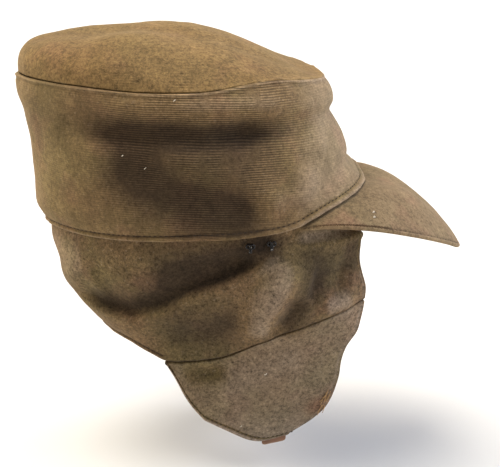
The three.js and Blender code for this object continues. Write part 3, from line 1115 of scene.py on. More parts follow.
@dataclass
class Peak(ClothPiece):
    """The peak: board between two layers of serge, bent down at its sides and turned in along its rim."""

    name: str = "dressed_peak"
    stands_for: str = "peak"
    slot: str = "serge_peak"
    thickness: float = 3.0
    columns: int = 300
    rows: int = 60
    foot_marks: tuple[float, ...] = (0, 0.3, 0.8, 1.5, 2.5)
    top_marks: tuple[float, ...] = (0, 0.12, 0.4, 0.9, 1.5, 2.2, 2.8, 3.4, 4.2, 5.5)
    stitch_inset: float = 2.8
    zigzag_marks: Pair = (1.5, 4.2)
    border_radius: float = 1.6
    level_normals: bool = False
    end_angle: float = 60
    drop: float = 0.7
    tuck: float = 0.09
    tuck_depth: float = 2.2
    tuck_height: float = 4.0
    arch: float = 0.85
    outline: SmoothTable = SmoothTable(
        "across x y z belly",
        (0, 166.3, 0, -31, 10.3),
        (0.12, 163.2, 15, -27.5, 9.8),
        (0.25, 154, 30, -20.6, 8),
        (0.5, 129, 53.5, -7.9, 4.2),
        (0.75, 98, 70, 2.4, 1.2),
        (0.9, 76, 73.5, 4.6, 0.5),
        (1, 62, 71.5, 2.5, 0),
    )
    ridges: tuple[Rise, ...] = (Rise(Border.TOP, 2.8, 0.8, -0.45),)
    uneven: tuple[Bumps, ...] = (Bumps(0.5, 22, 11), Bumps(0.2, 8, 12))
    sewn: Border = Border.TOP
    sewn_reach: Pair = (2, 9)
    # The rim paler, rubbed, and the stitch groove darker: painted shade.
    rubs_and_shade: tuple[Rise, ...] = (Rise(Border.TOP, 0.0, 1.8, 0.35), Rise(Border.TOP, 2.8, 0.7, -0.3))
    patchy_wear: Bumps = Bumps(0.1, 30, 13)

    def face(self, u: Array, v: Array) -> Array:
        """Works out the upper face's points. Its root is tucked up into the crown, where it is sewn in.

        Args:
            u: Shares of the way from the left end to the right.
            v: Shares of the way from the root to the rim.

        Returns:
            The points, in mm.
        """
        side = 1 - 2 * u
        hidden = np.clip(v / self.tuck, 0, 1)
        v = np.clip((v - self.tuck) / (1 - self.tuck), 0, 1)
        turn = side * self.end_angle / 360
        level = np.zeros_like(u)
        inwards = CLOTH + self.tuck_depth * (1 - hidden)[..., None]
        root = CROWN.face(turn, level) - inwards * outward(CROWN.face, turn, level, True)
        root[..., 2] += self.tuck_height * (1 - hidden) - self.drop
        rim = self.outline.at(np.minimum(np.abs(side), 1))
        edge = np.stack([rim.x, np.sign(side) * rim.y, rim.z], axis=-1)
        chord = edge - root
        run = chord[..., 0] ** 2 + chord[..., 1] ** 2
        square_on = [-chord[..., 2] * chord[..., 0], -chord[..., 2] * chord[..., 1], run]
        upwards = unit(np.stack(square_on, axis=-1))
        arch = v**self.arch
        bow = rim.belly * 4 * arch * (1 - arch)
        return lerp(root, edge, v[..., None]) + upwards * bow[..., None]

    def wear(self, lay: Lay) -> Array:
        """Returns the wear and painted shading: paler along the rim, darker in the stitch groove, patchy
        elsewhere.
        """
        return super().wear(lay) + self.patchy_wear.over(lay)


@dataclass(frozen=True)
class CurtainShape:
    """The face that the curtain and the chin panels hang in, and their borders."""

    middle: float = -0.5
    sections: SmoothTable = SmoothTable(
        "z rear half_width edge_x edge_y fullness rear_fullness",
        (-160, -46, 44, 46, 33, 2, 2),
        (-152, -48, 46, 55, 34, 2, 2),
        (-144, -50, 48, 65.6, 35, 2, 2),
        (-133, -53, 50, 76.4, 37, 2, 2),
        (-121, -56, 53, 82.4, 39, 2, 2),
        (-108, -59, 56, 85.8, 40, 2, 2),
        (-94, -63, 58, 87.2, 41, 2, 2),
        (-85, -66, 60, 90.1, 41, 2, 2),
        (-76, -71, 63, 96.1, 41, 2, 2),
        (-65, -80, 68, 99.2, 41, 2.1, 2.05),
        (-55, -87, 72, 100.2, 41, 2.2, 2.1),
        (-46, -91, 75, 100.4, 41, 2.3, 2.1),
        (-30, -96.3, 78, 97, 41, 2.4, 2.1),
        (-14, -98.8, 78, 96.4, 42, 2.5, 2.1),
        (-9, -98.1, 77.5, 97.2, 42, 2.5, 2.1),
        (-4, -97.4, 77, 89.5, 42, 2.5, 2.1),
        (16, -97.4, 77, 89.5, 42, 2.5, 2.1),
    )
    top: SmoothTable = SmoothTable("share z", (0, -2), (0.35, 2), (0.6, 4), (0.84, 4), (0.93, 4.5), (1, 5))
    foot: SmoothTable = SmoothTable(
        "share z", (0, -80), (0.2, -78), (0.35, -80.5), (0.43, -85), (0.5, -89), (0.6, -88), (0.7, -84),
        (0.78, -70), (0.88, -59.5), (1, -53),
    )
    chin_foot: SmoothTable = SmoothTable(
        "share z", (0.5, -92), (0.53, -98), (0.58, -114), (0.68, -134), (0.77, -146.5), (0.88, -154.5),
        (1, -153.5),
    )
    folds: tuple[Fold, ...] = (
        Fold(((-92, -38), (-58, -34)), 13, 4, taper=8),
        Fold(
            ((-82, -48), (-62, -51), (-43, -54), (-22, -44), (-10, -34), (10, -26), (20, -22), (36, -12)),
            16, -8, taper=14, sharp=0.24,
        ),
        Fold(((-40, -68), (22, -66)), 12, -3.4, taper=20),
        Fold(((49, -8), (49, -26), (39, -50), (27, -74)), 11, 4.4, taper=14),
        Fold(((58, -40), (48, -60), (38, -70)), 6, -4, taper=8),
        Fold(((62, -34), (92, -37)), 12, -5, taper=8, sharp=0.8),
        Fold(((66, -50), (96, -48)), 8, 2.5, taper=10),
        Fold(((-16, -98), (16, -96)), 6, -4, taper=8),
        Fold(((-2, -114), (30, -98), (66, -86)), 10, 2.2, taper=20),
    )
    # Lines of painted shade, with some grime, along the crease, the hollows and the valleys, and painted
    # highlights on the ridges, the rear bulge, the band under the peak and the chin's lower part.
    worn: tuple[Fold, ...] = (
        Fold(
            ((-72, -49), (-43, -53), (-22, -43), (-10, -33), (10, -25), (20, -21), (34, -12)),
            11, -0.27, taper=14, sharp=0.5,
        ),
        Fold(((-34, -26), (10, -13), (42, -8)), 13, -0.26, taper=16),
        Fold(((-56, -59), (-38, -57), (-14, -43), (12, -33), (34, -21), (47, -11)), 3.4, 0.2, taper=10),
        Fold(((-34, -30), (4, -18), (40, -10)), 13, -0.14, taper=16),
        Fold(((-30, -68), (4, -62), (28, -54)), 17, -0.2, taper=20),
        Fold(((-40, -60), (32, -46)), 26, -0.12, taper=20),
        Fold(((14, -42), (22, -70)), 11, -0.18, taper=12),
        Fold(((63, -6), (65, -36), (56, -54), (42, -66)), 10, -0.38, taper=10),
        Fold(((76, -12), (74, -34)), 9, -0.16, taper=6),
        Fold(((92, -8), (90, -36)), 9, -0.36, taper=8),
        Fold(((48, -8), (46, -26), (36, -50), (27, -72)), 11, 0.17, taper=14),
        Fold(((72, -51), (92, -47)), 9, 0.28, taper=6),
        Fold(((52, -4), (94, -4)), 4, 0.35, taper=10),
        Fold(((-96, -20), (-70, -20)), 14, 0.14, taper=4),
        Fold(((-18, -98), (18, -96)), 10, -0.12, taper=14),
        Fold(((0, -150), (70, -150)), 18, 0.16, taper=10),
    )

    flat_to: Pair = (2, 18)

    def drape(self, share: Array, z: Array) -> Array:
        """Works out the face's points.

        Args:
            share: Shares of the way from the nape (0) to the left (1) or the right (-1) front edge.
            z: Their heights, in mm.

        Returns:
            The points, in mm.
        """
        section = self.sections.at(z)
        edge_angle = np.arcsin((section.edge_y / section.half_width) ** (section.fullness / 2))
        length = (section.edge_x - self.middle) / np.cos(edge_angle) ** (2 / section.fullness)
        angle = math.pi - share * (math.pi - edge_angle)
        x, y = oval(section, self.middle + length, self.middle, angle)
        return np.stack([x, y, z], axis=-1)

    def relief(self, points: Array) -> Array:
        """Returns how far the folds stand out at points of the face: none where the crown holds it flat."""
        return smoothstep(-points[..., 2], *self.flat_to) * relief(self.folds, points[..., 0], points[..., 2])


CURTAIN = CurtainShape()


@dataclass
class CurtainPiece(ClothPiece):
    """A piece of the curtain, between two of its borders and over a range of shares."""

    slot: str = "serge_lined"
    foot_marks: tuple[float, ...] = (0, 0.15, 0.5, 1, 1.7, 2.5, 3.1, HEM_GROOVE, 4.2, 5, 6.5)
    side_marks: tuple[float, ...] = (0, 0.15, 0.5, 1, 2, 3.2)
    first: float = 1.0
    last: float = -1.0
    ridges: tuple[Rise, ...] = (Rise(Border.FRONT, 1.4, 1.3, 0.4), Rise(Border.FRONT, HEM_GROOVE, 0.8, -0.36))
    hem: tuple[Rise, ...] = (Rise(Border.FOOT, 1.4, 1.3, 0.5), Rise(Border.FOOT, HEM_GROOVE, 0.8, -0.45))
    crease_scale: float = 30
    crease_wear: Pair = (-0.25, 0.15)
    worn: tuple[Fold, ...] = CURTAIN.worn
    # Front border: darker on its rounding, painted shade, and paler beside it, painted highlight. Hem: a
    # paler bead, rubbed and painted highlight, and a darker groove, painted shade and grime.
    rubs_and_shade: tuple[Rise, ...] = (Rise(Border.FRONT, 2.6, 0.8, 0.3), Rise(Border.FRONT, 0.0, 1.3, -0.4))
    hem_rubs_and_shade: tuple[Rise, ...] = (Rise(Border.FOOT, 1.0, 1.0, 0.4), Rise(Border.FOOT, HEM_GROOVE, 0.9, -0.35))

    def borders(self, share: Array) -> tuple[Array, Array]:
        """Returns the heights of the piece's lower and upper borders."""
        raise NotImplementedError

    def face(self, u: Array, v: Array) -> Array:
        """Works out the outer face's points.

        Args:
            u: Shares of the way from the piece's first share to its last.
            v: Shares of the way from its lower border to its upper one.

        Returns:
            The points, in mm.
        """
        share = lerp(self.first, self.last, u)
        low, high = self.borders(np.abs(share))
        return CURTAIN.drape(share, lerp(low, high, v))

    def big_relief(self, u: Array, v: Array) -> Array:
        """Returns how far folds move the whole wall out, in mm."""
        return CURTAIN.relief(self.face(u, v))

    def lay_out(self) -> None:
        """Works out where the piece's points lie, and how far they are from the nearest front edge."""
        super().lay_out()
        ends = ((self.first, self.lay.left), (self.last, self.lay.right))
        self.lay.front = np.min([distance for end, distance in ends if abs(end) == 1], axis=0)

    def hemmed(self, lay: Lay) -> Array:
        """Returns where the lower border is a hem: 1 there and 0 where it is sewn to another piece."""
        return np.ones_like(lay.u)

    def fine_relief(self, lay: Lay) -> Array:
        """Returns the cloth's fine relief with its hem, in mm."""
        return super().fine_relief(lay) + self.hemmed(lay) * total(self.hem, lay)

    def wear(self, lay: Lay) -> Array:
        """Returns the wear and painted shading: the hem's bead is paler, rubbed and with painted highlight,
        and its groove darker, with grime and painted shade.
        """
        return super().wear(lay) + self.hemmed(lay) * total(self.hem_rubs_and_shade, lay)


@dataclass
class NeckCurtain(CurtainPiece):
    """The curtain round the nape and cheeks, from inside the crown to the hem and the chin seams."""

    name: str = "dressed_neck_curtain"
    stands_for: str = "neck_curtain"
    columns: int = 380
    rows: int = 56
    puckers: tuple[Bumps, ...] = (Bumps(0.7, 8, 21, border=Border.FOOT, reach=7),)
    uneven: tuple[Bumps, ...] = (Bumps(1.3, 28, 22), Bumps(0.4, 10, 23))
    free_below: Pair = (8, 24)
    chin_shares: Pair = (0.48, 0.52)
    seam_rub: Rise = Rise(Border.FOOT, 0.0, 1.0, -0.45)

    def borders(self, share: Array) -> tuple[Array, Array]:
        """Returns the heights of the hem or chin seam, and of the hidden top border."""
        return CURTAIN.foot.at(share).z, CURTAIN.top.at(share).z

    def hemmed(self, lay: Lay) -> Array:
        """Returns where the lower border is a hem: 1 at the nape and 0 along the chin seams."""
        return 1 - smoothstep(np.abs(lerp(self.first, self.last, lay.u)), *self.chin_shares)

    def free(self, lay: Lay) -> Array:
        """Returns how freely the cloth lies: 0 along its lower border and under the crown's edge."""
        return super().free(lay) * smoothstep(-lay.middle[..., 2], *self.free_below)

    def wear(self, lay: Lay) -> Array:
        """Returns the wear and painted shading, with dark chin seams."""
        return super().wear(lay) + (1 - self.hemmed(lay)) * self.seam_rub.over(lay)


@dataclass
class ChinPanel(CurtainPiece):
    """A chin panel, sewn to the curtain along a curved seam and hemmed round the rest."""

    columns: int = 110
    rows: int = 54
    top_marks: tuple[float, ...] = (0, 0.15, 0.5, 1.2, 2, 2.5, 2.9, 3.3, 3.7, 4.2, 5, 6.5)
    tuck: float = 3.0
    tuck_depth: float = CLOTH + 0.3
    tuck_bend: Pair = (-1.6, 0.1)
    puckers: tuple[Bumps, ...] = (Bumps(0.7, 8, 31, border=Border.TOP, reach=7),)
    uneven: tuple[Bumps, ...] = (Bumps(1.2, 26, 32), Bumps(0.4, 9, 33))
    sewn: Border = Border.ENDS
    # Paler all over: partly wear, partly painted light for the light thrown up from the floor.
    even_wear: float = 0.7
    rubs_and_shade: tuple[Rise, ...] = (*CurtainPiece.rubs_and_shade, Rise(Border.TOP, tuck, 1.1, -0.45))

    def borders(self, share: Array) -> tuple[Array, Array]:
        """Returns the heights of the hem and of the seam to the curtain."""
        return CURTAIN.chin_foot.at(share).z, CURTAIN.foot.at(share).z - GAP + self.tuck

    def big_relief(self, u: Array, v: Array) -> Array:
        """Works out the folds, with the upper border turned in behind the curtain along their seam.

        Args:
            u: Shares of the way from the panel's first share to its last.
            v: Shares of the way from its hem to its upper border.

        Returns:
            How far they move the whole wall out, in mm.
        """
        points = self.face(u, v)
        seam = CURTAIN.foot.at(np.abs(lerp(self.first, self.last, u))).z
        return CURTAIN.relief(points) - self.tuck_depth * smoothstep(points[..., 2] - seam, *self.tuck_bend)


@dataclass
class ChinTab(ClothPiece):
    """The leather tab behind the chin panel's lower border."""

    name: str = "leather_tab"
    stands_for: str = "chin_tab"
    slot: str = "leather"
    thickness: float = 1.4
    columns: int = 30
    rows: int = 22
    border_radius: float = 0.6
    level_normals: bool = False
    place: Pair = (46, -153)
    size: Pair = (17, 13)
    corner: float = 2.0
    behind: float = CLOTH + 1.5
    puckers: tuple[Bumps, ...] = (Bumps(0.15, 4, 41),)
    rubs_and_shade: tuple[Rise, ...] = (Rise(Border.ENDS, 0.0, 1.6, 0.25),)

    def face(self, u: Array, v: Array) -> Array:
        """Works out the tab's outer face, flat, with rounded lower corners.

        Args:
            u: Shares of the way along it.
            v: Shares of the way up it.

        Returns:
            The points, in mm.
        """
        width, height = self.size
        along = (u - 0.5) * width
        past = np.clip((np.abs(along) - width / 2 + self.corner) / self.corner, 0, 1)
        foot = -height / 2 + self.corner * (1 - np.sqrt(1 - past**2))
        up = lerp(foot, height / 2, v)
        origin, axes = curtain_spot(self.place, -1)
        local = np.stack([along, up, np.full_like(along, -self.behind)], axis=-1)
        return origin + local @ axes


def curtain_spot(place: Pair, side: int, halvings: int = 24) -> tuple[Array, Array]:
    """Finds a spot on the curtain's outer face.

    Args:
        place: Its x and z, in mm.
        side: 1 on the left, -1 on the right.
        halvings: How many times the search for the spot halves its range.

    Returns:
        The spot, and its axes as rows: along the cloth, up, and outwards.
    """
    x, z = place
    near, far = 0.0, 1.0
    for _ in range(halvings):
        middle = (near + far) / 2
        if CURTAIN.drape(np.array(middle), np.array(float(z)))[0] < x:
            near = middle
        else:
            far = middle

    def around(u: Array, v: Array) -> Array:
        """Returns the folded face close to the spot."""
        return CURTAIN.drape(side * near + lerp(0.01, -0.01, u), lerp(z - 2.0, z + 2.0, v))

    def folded(u: Array, v: Array) -> Array:
        """Returns the face close to the spot with its folds."""
        flat = around(u, v)
        return flat + outward(around, u, v, True) * CURTAIN.relief(flat)[..., None]

    centre = np.array([0.5]), np.array([0.5])
    out = outward(folded, *centre, True)[0]
    up = np.array((0.0, 0.0, 1.0))
    return folded(*centre)[0], np.stack([np.cross(up, out), up, out])


# --- Wire, stitches and threads --------------------------------------------------------------------------


class HookSide(Enum):
    """The two sides of the cap, by the sign of y."""

    LEFT = 1
    RIGHT = -1


@dataclass(frozen=True)
class WireHook:
    """A hook of bent wire, sewn on by its two rings, with a flat bill that turns back over its shank."""

    side: HookSide
    spot_name: str
    place: Pair
    wire: float = 0.45
    ring: float = 1.15
    ring_middle: Triple = (1.3, 1.0, 0.7)
    ring_turn: Pair = (250, -60)
    bill: tuple[Triple, ...] = (
        (0.55, -0.6, 0.7),
        (0.5, -1.8, 0.8),
        (0.5, -2.5, 1.3),
        (0.45, -2.3, 1.9),
        (0.35, -1.2, 2.0),
        (0.0, -0.7, 2.0),
    )

    def path(self) -> Array:
        """Works out the wire's way: one ring, the bill and the other ring.

        Returns:
            Its points in mm: along the cloth, up, and outwards.
        """
        turn = np.radians(np.linspace(*self.ring_turn, 12))
        circle = np.stack([np.sin(turn), np.cos(turn), np.zeros_like(turn)], axis=-1)
        half = np.vstack([self.ring_middle + self.ring * circle, self.bill])
        return np.vstack([half, (half[::-1] * (-1, 1, 1))[1:]])

    def build(self, material: Material) -> Object:
        """Builds the hook.

        Args:
            material: The wire's finish.

        Returns:
            The hook as one plain mesh.
        """
        origin, axes = curtain_spot(self.place, self.side.value)
        hook = round_strands(self.name, [origin + self.path() @ axes], self.wire, 3, material)
        return tied(hook, "blackened_metal", self.node)

    @property
    def node(self) -> str:
        """The CAD node that the hook stands for."""
        return f"hook_{self.side.name.lower()}_{self.spot_name}"

    @property
    def name(self) -> str:
        """The piece's name."""
        return f"wire_{self.node}"


@dataclass(frozen=True)
class LooseFibres:
    """Short frayed ends or specks of lint that lie on the cloth in small tufts."""

    name: str
    slot: str
    spots: tuple[Pair, ...]
    count: int
    length: float
    spread: float
    radius: float
    lean: float
    seed: int
    swing: float = 14
    least: float = 0.6
    most: float = 1.2
    bend: float = 0.12
    lift: float = 0.9

    def build(self, piece: ClothPiece, material: Material) -> Object:
        """Lays the fibres on the right side of a built piece.

        Args:
            piece: The piece they lie on.
            material: Their finish.

        Returns:
            The fibres as one plain mesh.
        """
        random = np.random.default_rng(self.seed)
        outer, normals = piece.outer.reshape(-1, 3), piece.lay.normal.reshape(-1, 3)
        paths = []
        for x, z in self.spots:
            apart = np.hypot(outer[:, 0] - x, outer[:, 2] - z) + np.where(outer[:, 1] > 0, 1e3, 0)
            place, out = outer[apart.argmin()], normals[apart.argmin()]
            along = unit(np.cross((0.0, 0.0, 1.0), out))
            axes = np.stack([along, np.cross(out, along), out])
            for _ in range(self.count):
                middle = random.uniform(-self.spread, self.spread, 2)
                lean = math.radians(self.lean + random.uniform(-self.swing, self.swing))
                reach = self.length * random.uniform(self.least, self.most)
                steps = np.linspace(-0.5, 0.5, 5)
                arc = 1 - 4 * steps**2
                bend = random.uniform(-self.bend, self.bend) * reach * arc
                across = middle[0] + reach * steps * math.cos(lean) - bend * math.sin(lean)
                up = middle[1] + reach * steps * math.sin(lean) + bend * math.cos(lean)
                lift = self.radius + self.lift * random.uniform(0.2, 1) * arc
                paths.append(place + np.stack([across, up, lift], axis=-1) @ axes)
        return tied(round_strands(self.name, paths, self.radius, 1, material), self.slot)


def round_strands(
    name: str, paths: Sequence[Array], radius: float, roundness: int, material: Material
) -> Object:
    """Makes round strands that follow smooth paths.

    Args:
        name: The mesh's name.
        paths: Each strand's way in mm.
        radius: Their radius in mm.
        roundness: How finely they are rounded.
        material: Their finish.

    Returns:
        The strands as one plain mesh.
    """
    curve = bpy.data.curves.new(name, "CURVE")
    curve.dimensions = "3D"
    for path in paths:
        spline = curve.splines.new("NURBS")
        spline.points.add(len(path) - 1)
        for knot, point in zip(spline.points, (path * MM).tolist()):
            knot.co = (*point, 1.0)
        spline.order_u = 3
        spline.use_endpoint_u = True
        spline.resolution_u = 4
    curve.bevel_depth = radius * MM
    curve.bevel_resolution = roundness
    curve.use_fill_caps = True
    return baked(placed(name + "_bent", curve), name, material)


def baked(source: Object, name: str, material: Material) -> Object:
    """Turns an object and its modifiers into a plain mesh piece.

    Args:
        source: The object, which is removed.
        name: The new piece's name.
        material: The new piece's finish.

    Returns:
        The plain piece.
    """
    graph = bpy.context.evaluated_depsgraph_get()
    graph.update()
    mesh = bpy.data.meshes.new_from_object(source.evaluated_get(graph))
    mesh.name = name
    mesh.materials.clear()
    mesh.materials.append(material)
    mesh.polygons.foreach_set("use_smooth", [True] * len(mesh.polygons))
    bpy.data.objects.remove(source)
    return placed(name, mesh)


def node_tree_inputs(tree: NodeTree, sockets: Mapping[str, str]) -> None:
    """Gives a geometry tree its geometry input and output and its named inputs.

    Args:
        tree: The tree.
        sockets: The named inputs' socket types.
    """
    tree.interface.new_socket("Geometry", in_out="INPUT", socket_type="NodeSocketGeometry")
    tree.interface.new_socket("Geometry", in_out="OUTPUT", socket_type="NodeSocketGeometry")
    for name, kind in sockets.items():
        tree.interface.new_socket(name, in_out="INPUT", socket_type=kind)


def with_nodes(thing: Object, tree: NodeTree, values: Mapping[str, Any]) -> None:
    """Puts a geometry tree on an object and sets the tree's named inputs.

    Args:
        thing: The object.
        tree: The tree.
        values: The inputs' values by name.
    """
    modifier = thing.modifiers.new(tree.name, "NODES")
    modifier.node_group = tree
    for item in tree.interface.items_tree:
        if item.in_out == "INPUT" and item.name in values:
            modifier[item.identifier] = values[item.name]


def stitch_tree() -> NodeTree:
    """Builds the tree that lays machine stitches along a path.

    Returns:
        The tree, with inputs for the stitches' pitch, length, thickness, unevenness, seed and material.
    """
    tree = bpy.data.node_groups.new("machine_stitches", "GeometryNodeTree")
    sizes = dict.fromkeys(("Pitch", "Length", "Thickness", "Unevenness"), "NodeSocketFloat")
    node_tree_inputs(tree, {**sizes, "Seed": "NodeSocketInt", "Material": "NodeSocketMaterial"})
    given = add_node(tree, "NodeGroupInput").outputs
    curve = add_node(tree, "GeometryNodeMeshToCurve", {"Mesh": given["Geometry"]})
    along = {"Curve": curve.outputs["Curve"], "Length": given["Pitch"]}
    spots = add_node(tree, "GeometryNodeCurveToPoints", along, mode="LENGTH")
    ball = add_node(tree, "GeometryNodeMeshUVSphere", {"Segments": 6, "Rings": 5, "Radius": 0.5})
    sides = {0: given["Length"], 1: given["Thickness"], 2: given["Thickness"]}
    size = add_node(tree, "ShaderNodeCombineXYZ", sides)
    drawn_out = {"Geometry": ball.outputs["Mesh"], "Scale": size.outputs[0]}
    stitch = add_node(tree, "GeometryNodeTransform", drawn_out)
    way = {"Vector": spots.outputs["Tangent"]}
    lined = add_node(tree, "FunctionNodeAlignRotationToVector", way, axis="X")
    low = add_node(tree, "ShaderNodeMath", {0: 0.0, 1: given["Unevenness"]}, operation="SUBTRACT")
    limits = {0: low.outputs[0], 1: given["Unevenness"], "Seed": given["Seed"]}
    turned = add_node(tree, "FunctionNodeRandomValue", limits, data_type="FLOAT_VECTOR")
    tilt = add_node(tree, "FunctionNodeEulerToRotation", {0: turned.outputs[0]})
    swung = add_node(tree, "FunctionNodeRotateRotation", {0: lined.outputs[0], 1: tilt.outputs[0]})
    laid = {"Points": spots.outputs["Points"], "Instance": stitch.outputs[0], "Rotation": swung.outputs[0]}
    row = add_node(tree, "GeometryNodeInstanceOnPoints", laid)
    real = add_node(tree, "GeometryNodeRealizeInstances", {"Geometry": row.outputs[0]})
    finish = {"Geometry": real.outputs[0], "Material": given["Material"]}
    dressed = add_node(tree, "GeometryNodeSetMaterial", finish)
    add_node(tree, "NodeGroupOutput", {0: dressed.outputs[0]})
    return tree


@dataclass(frozen=True)
class StitchRow:
    """A row of machine stitches that follows a line on the cloth."""

    name: str
    path: Array
    slot: str
    pitch: float = 3.2
    length: float = 2.2
    thickness: float = 0.75
    unevenness: float = 0.12
    seed: int = 1

    def build(self, tree: NodeTree, material: Material) -> Object:
        """Builds the row.

        Args:
            tree: The tree that lays the stitches.
            material: The thread's finish.

        Returns:
            The row as one plain mesh.
        """
        line = bpy.data.meshes.new(self.name + "_line")
        line.from_pydata((self.path * MM).tolist(), [(n, n + 1) for n in range(len(self.path) - 1)], [])
        carrier = placed(line.name, line)
        sizes = {name.title(): getattr(self, name) * MM for name in ("pitch", "length", "thickness")}
        others = {"Unevenness": self.unevenness, "Seed": self.seed, "Material": material}
        with_nodes(carrier, tree, {**sizes, **others})
        return tied(baked(carrier, self.name, material), self.slot)


# --- Studio ----------------------------------------------------------------------------------------------


@dataclass(frozen=True)
class SoftLight:
    """A broad bank of soft light, far enough away to light the whole floor evenly.

    Its way points from the cap to the light, and its spread is the angle it covers, in degrees.
    """

    name: str
    way: Triple
    spread: float
    strength: float
    colour: str


@dataclass(frozen=True)
class Studio:
    """The camera, the soft lights and the pale floor."""

    target: Triple = (0.0287, 0.0, -0.0241)
    distance: float = 0.62
    elevation: float = 18.5
    lens: float = 68.33
    sensor: float = 36.0
    clip: Pair = (0.05, 150.0)
    floor_level: float = -0.172
    floor_size: float = 80.0
    sky: str = "#eef2fb"
    sky_strength: float = 0.14
    lights: tuple[SoftLight, ...] = (
        SoftLight("overhead_light", (-0.24, -0.02, 1.0), 40, 3.6, "#fff8ea"),
        SoftLight("left_light", (-0.86, 0.4, 0.36), 70, 4.8, "#fff1d8"),
        SoftLight("right_light", (0.94, 0.14, 0.24), 70, 6.0, "#e6edff"),
    )

    def build_camera(self) -> Object:
        """Builds the camera.

        Returns:
            The camera, which the scene uses.
        """
        data = bpy.data.cameras.new("camera")
        data.lens, data.sensor_width = self.lens, self.sensor
        data.clip_start, data.clip_end = self.clip
        camera = placed("camera", data)
        tilt = math.radians(self.elevation)
        back = Vector((0.0, -math.cos(tilt), math.sin(tilt)))
        camera.location = Vector(self.target) + self.distance * back
        camera.rotation_euler = (math.pi / 2 - tilt, 0.0, 0.0)
        bpy.context.scene.camera = camera
        return camera

    def build_lights(self) -> None:
        """Builds the soft lights and the even light of the room."""
        for light in self.lights:
            data = bpy.data.lights.new(light.name, "SUN")
            data.energy, data.angle = light.strength, math.radians(light.spread)
            data.color = linear(light.colour)[:3]
            placed(light.name, data).rotation_euler = Vector(light.way).to_track_quat("Z", "Y").to_euler()
        world = bpy.data.worlds.new("room")
        bpy.context.scene.world = world
        world.use_nodes = True
        background = world.node_tree.nodes["Background"]
        background.inputs["Color"].default_value = linear(self.sky)
        background.inputs["Strength"].default_value = self.sky_strength
        bpy.context.scene.view_settings.view_transform = "Standard"

    def build_floor(self, material: Material) -> None:
        """Builds the floor, which isn't part of the cap.

        Args:
            material: Its finish.
        """
        half = self.floor_size / 2
        mesh = bpy.data.meshes.new("floor")
        corners = ((-half, -half), (half, -half), (half, half), (-half, half))
        mesh.from_pydata([(x, y, self.floor_level) for x, y in corners], [], [(0, 1, 2, 3)])
        mesh.materials.append(material)
        placed("floor", mesh)


# --- The cap ---------------------------------------------------------------------------------------------


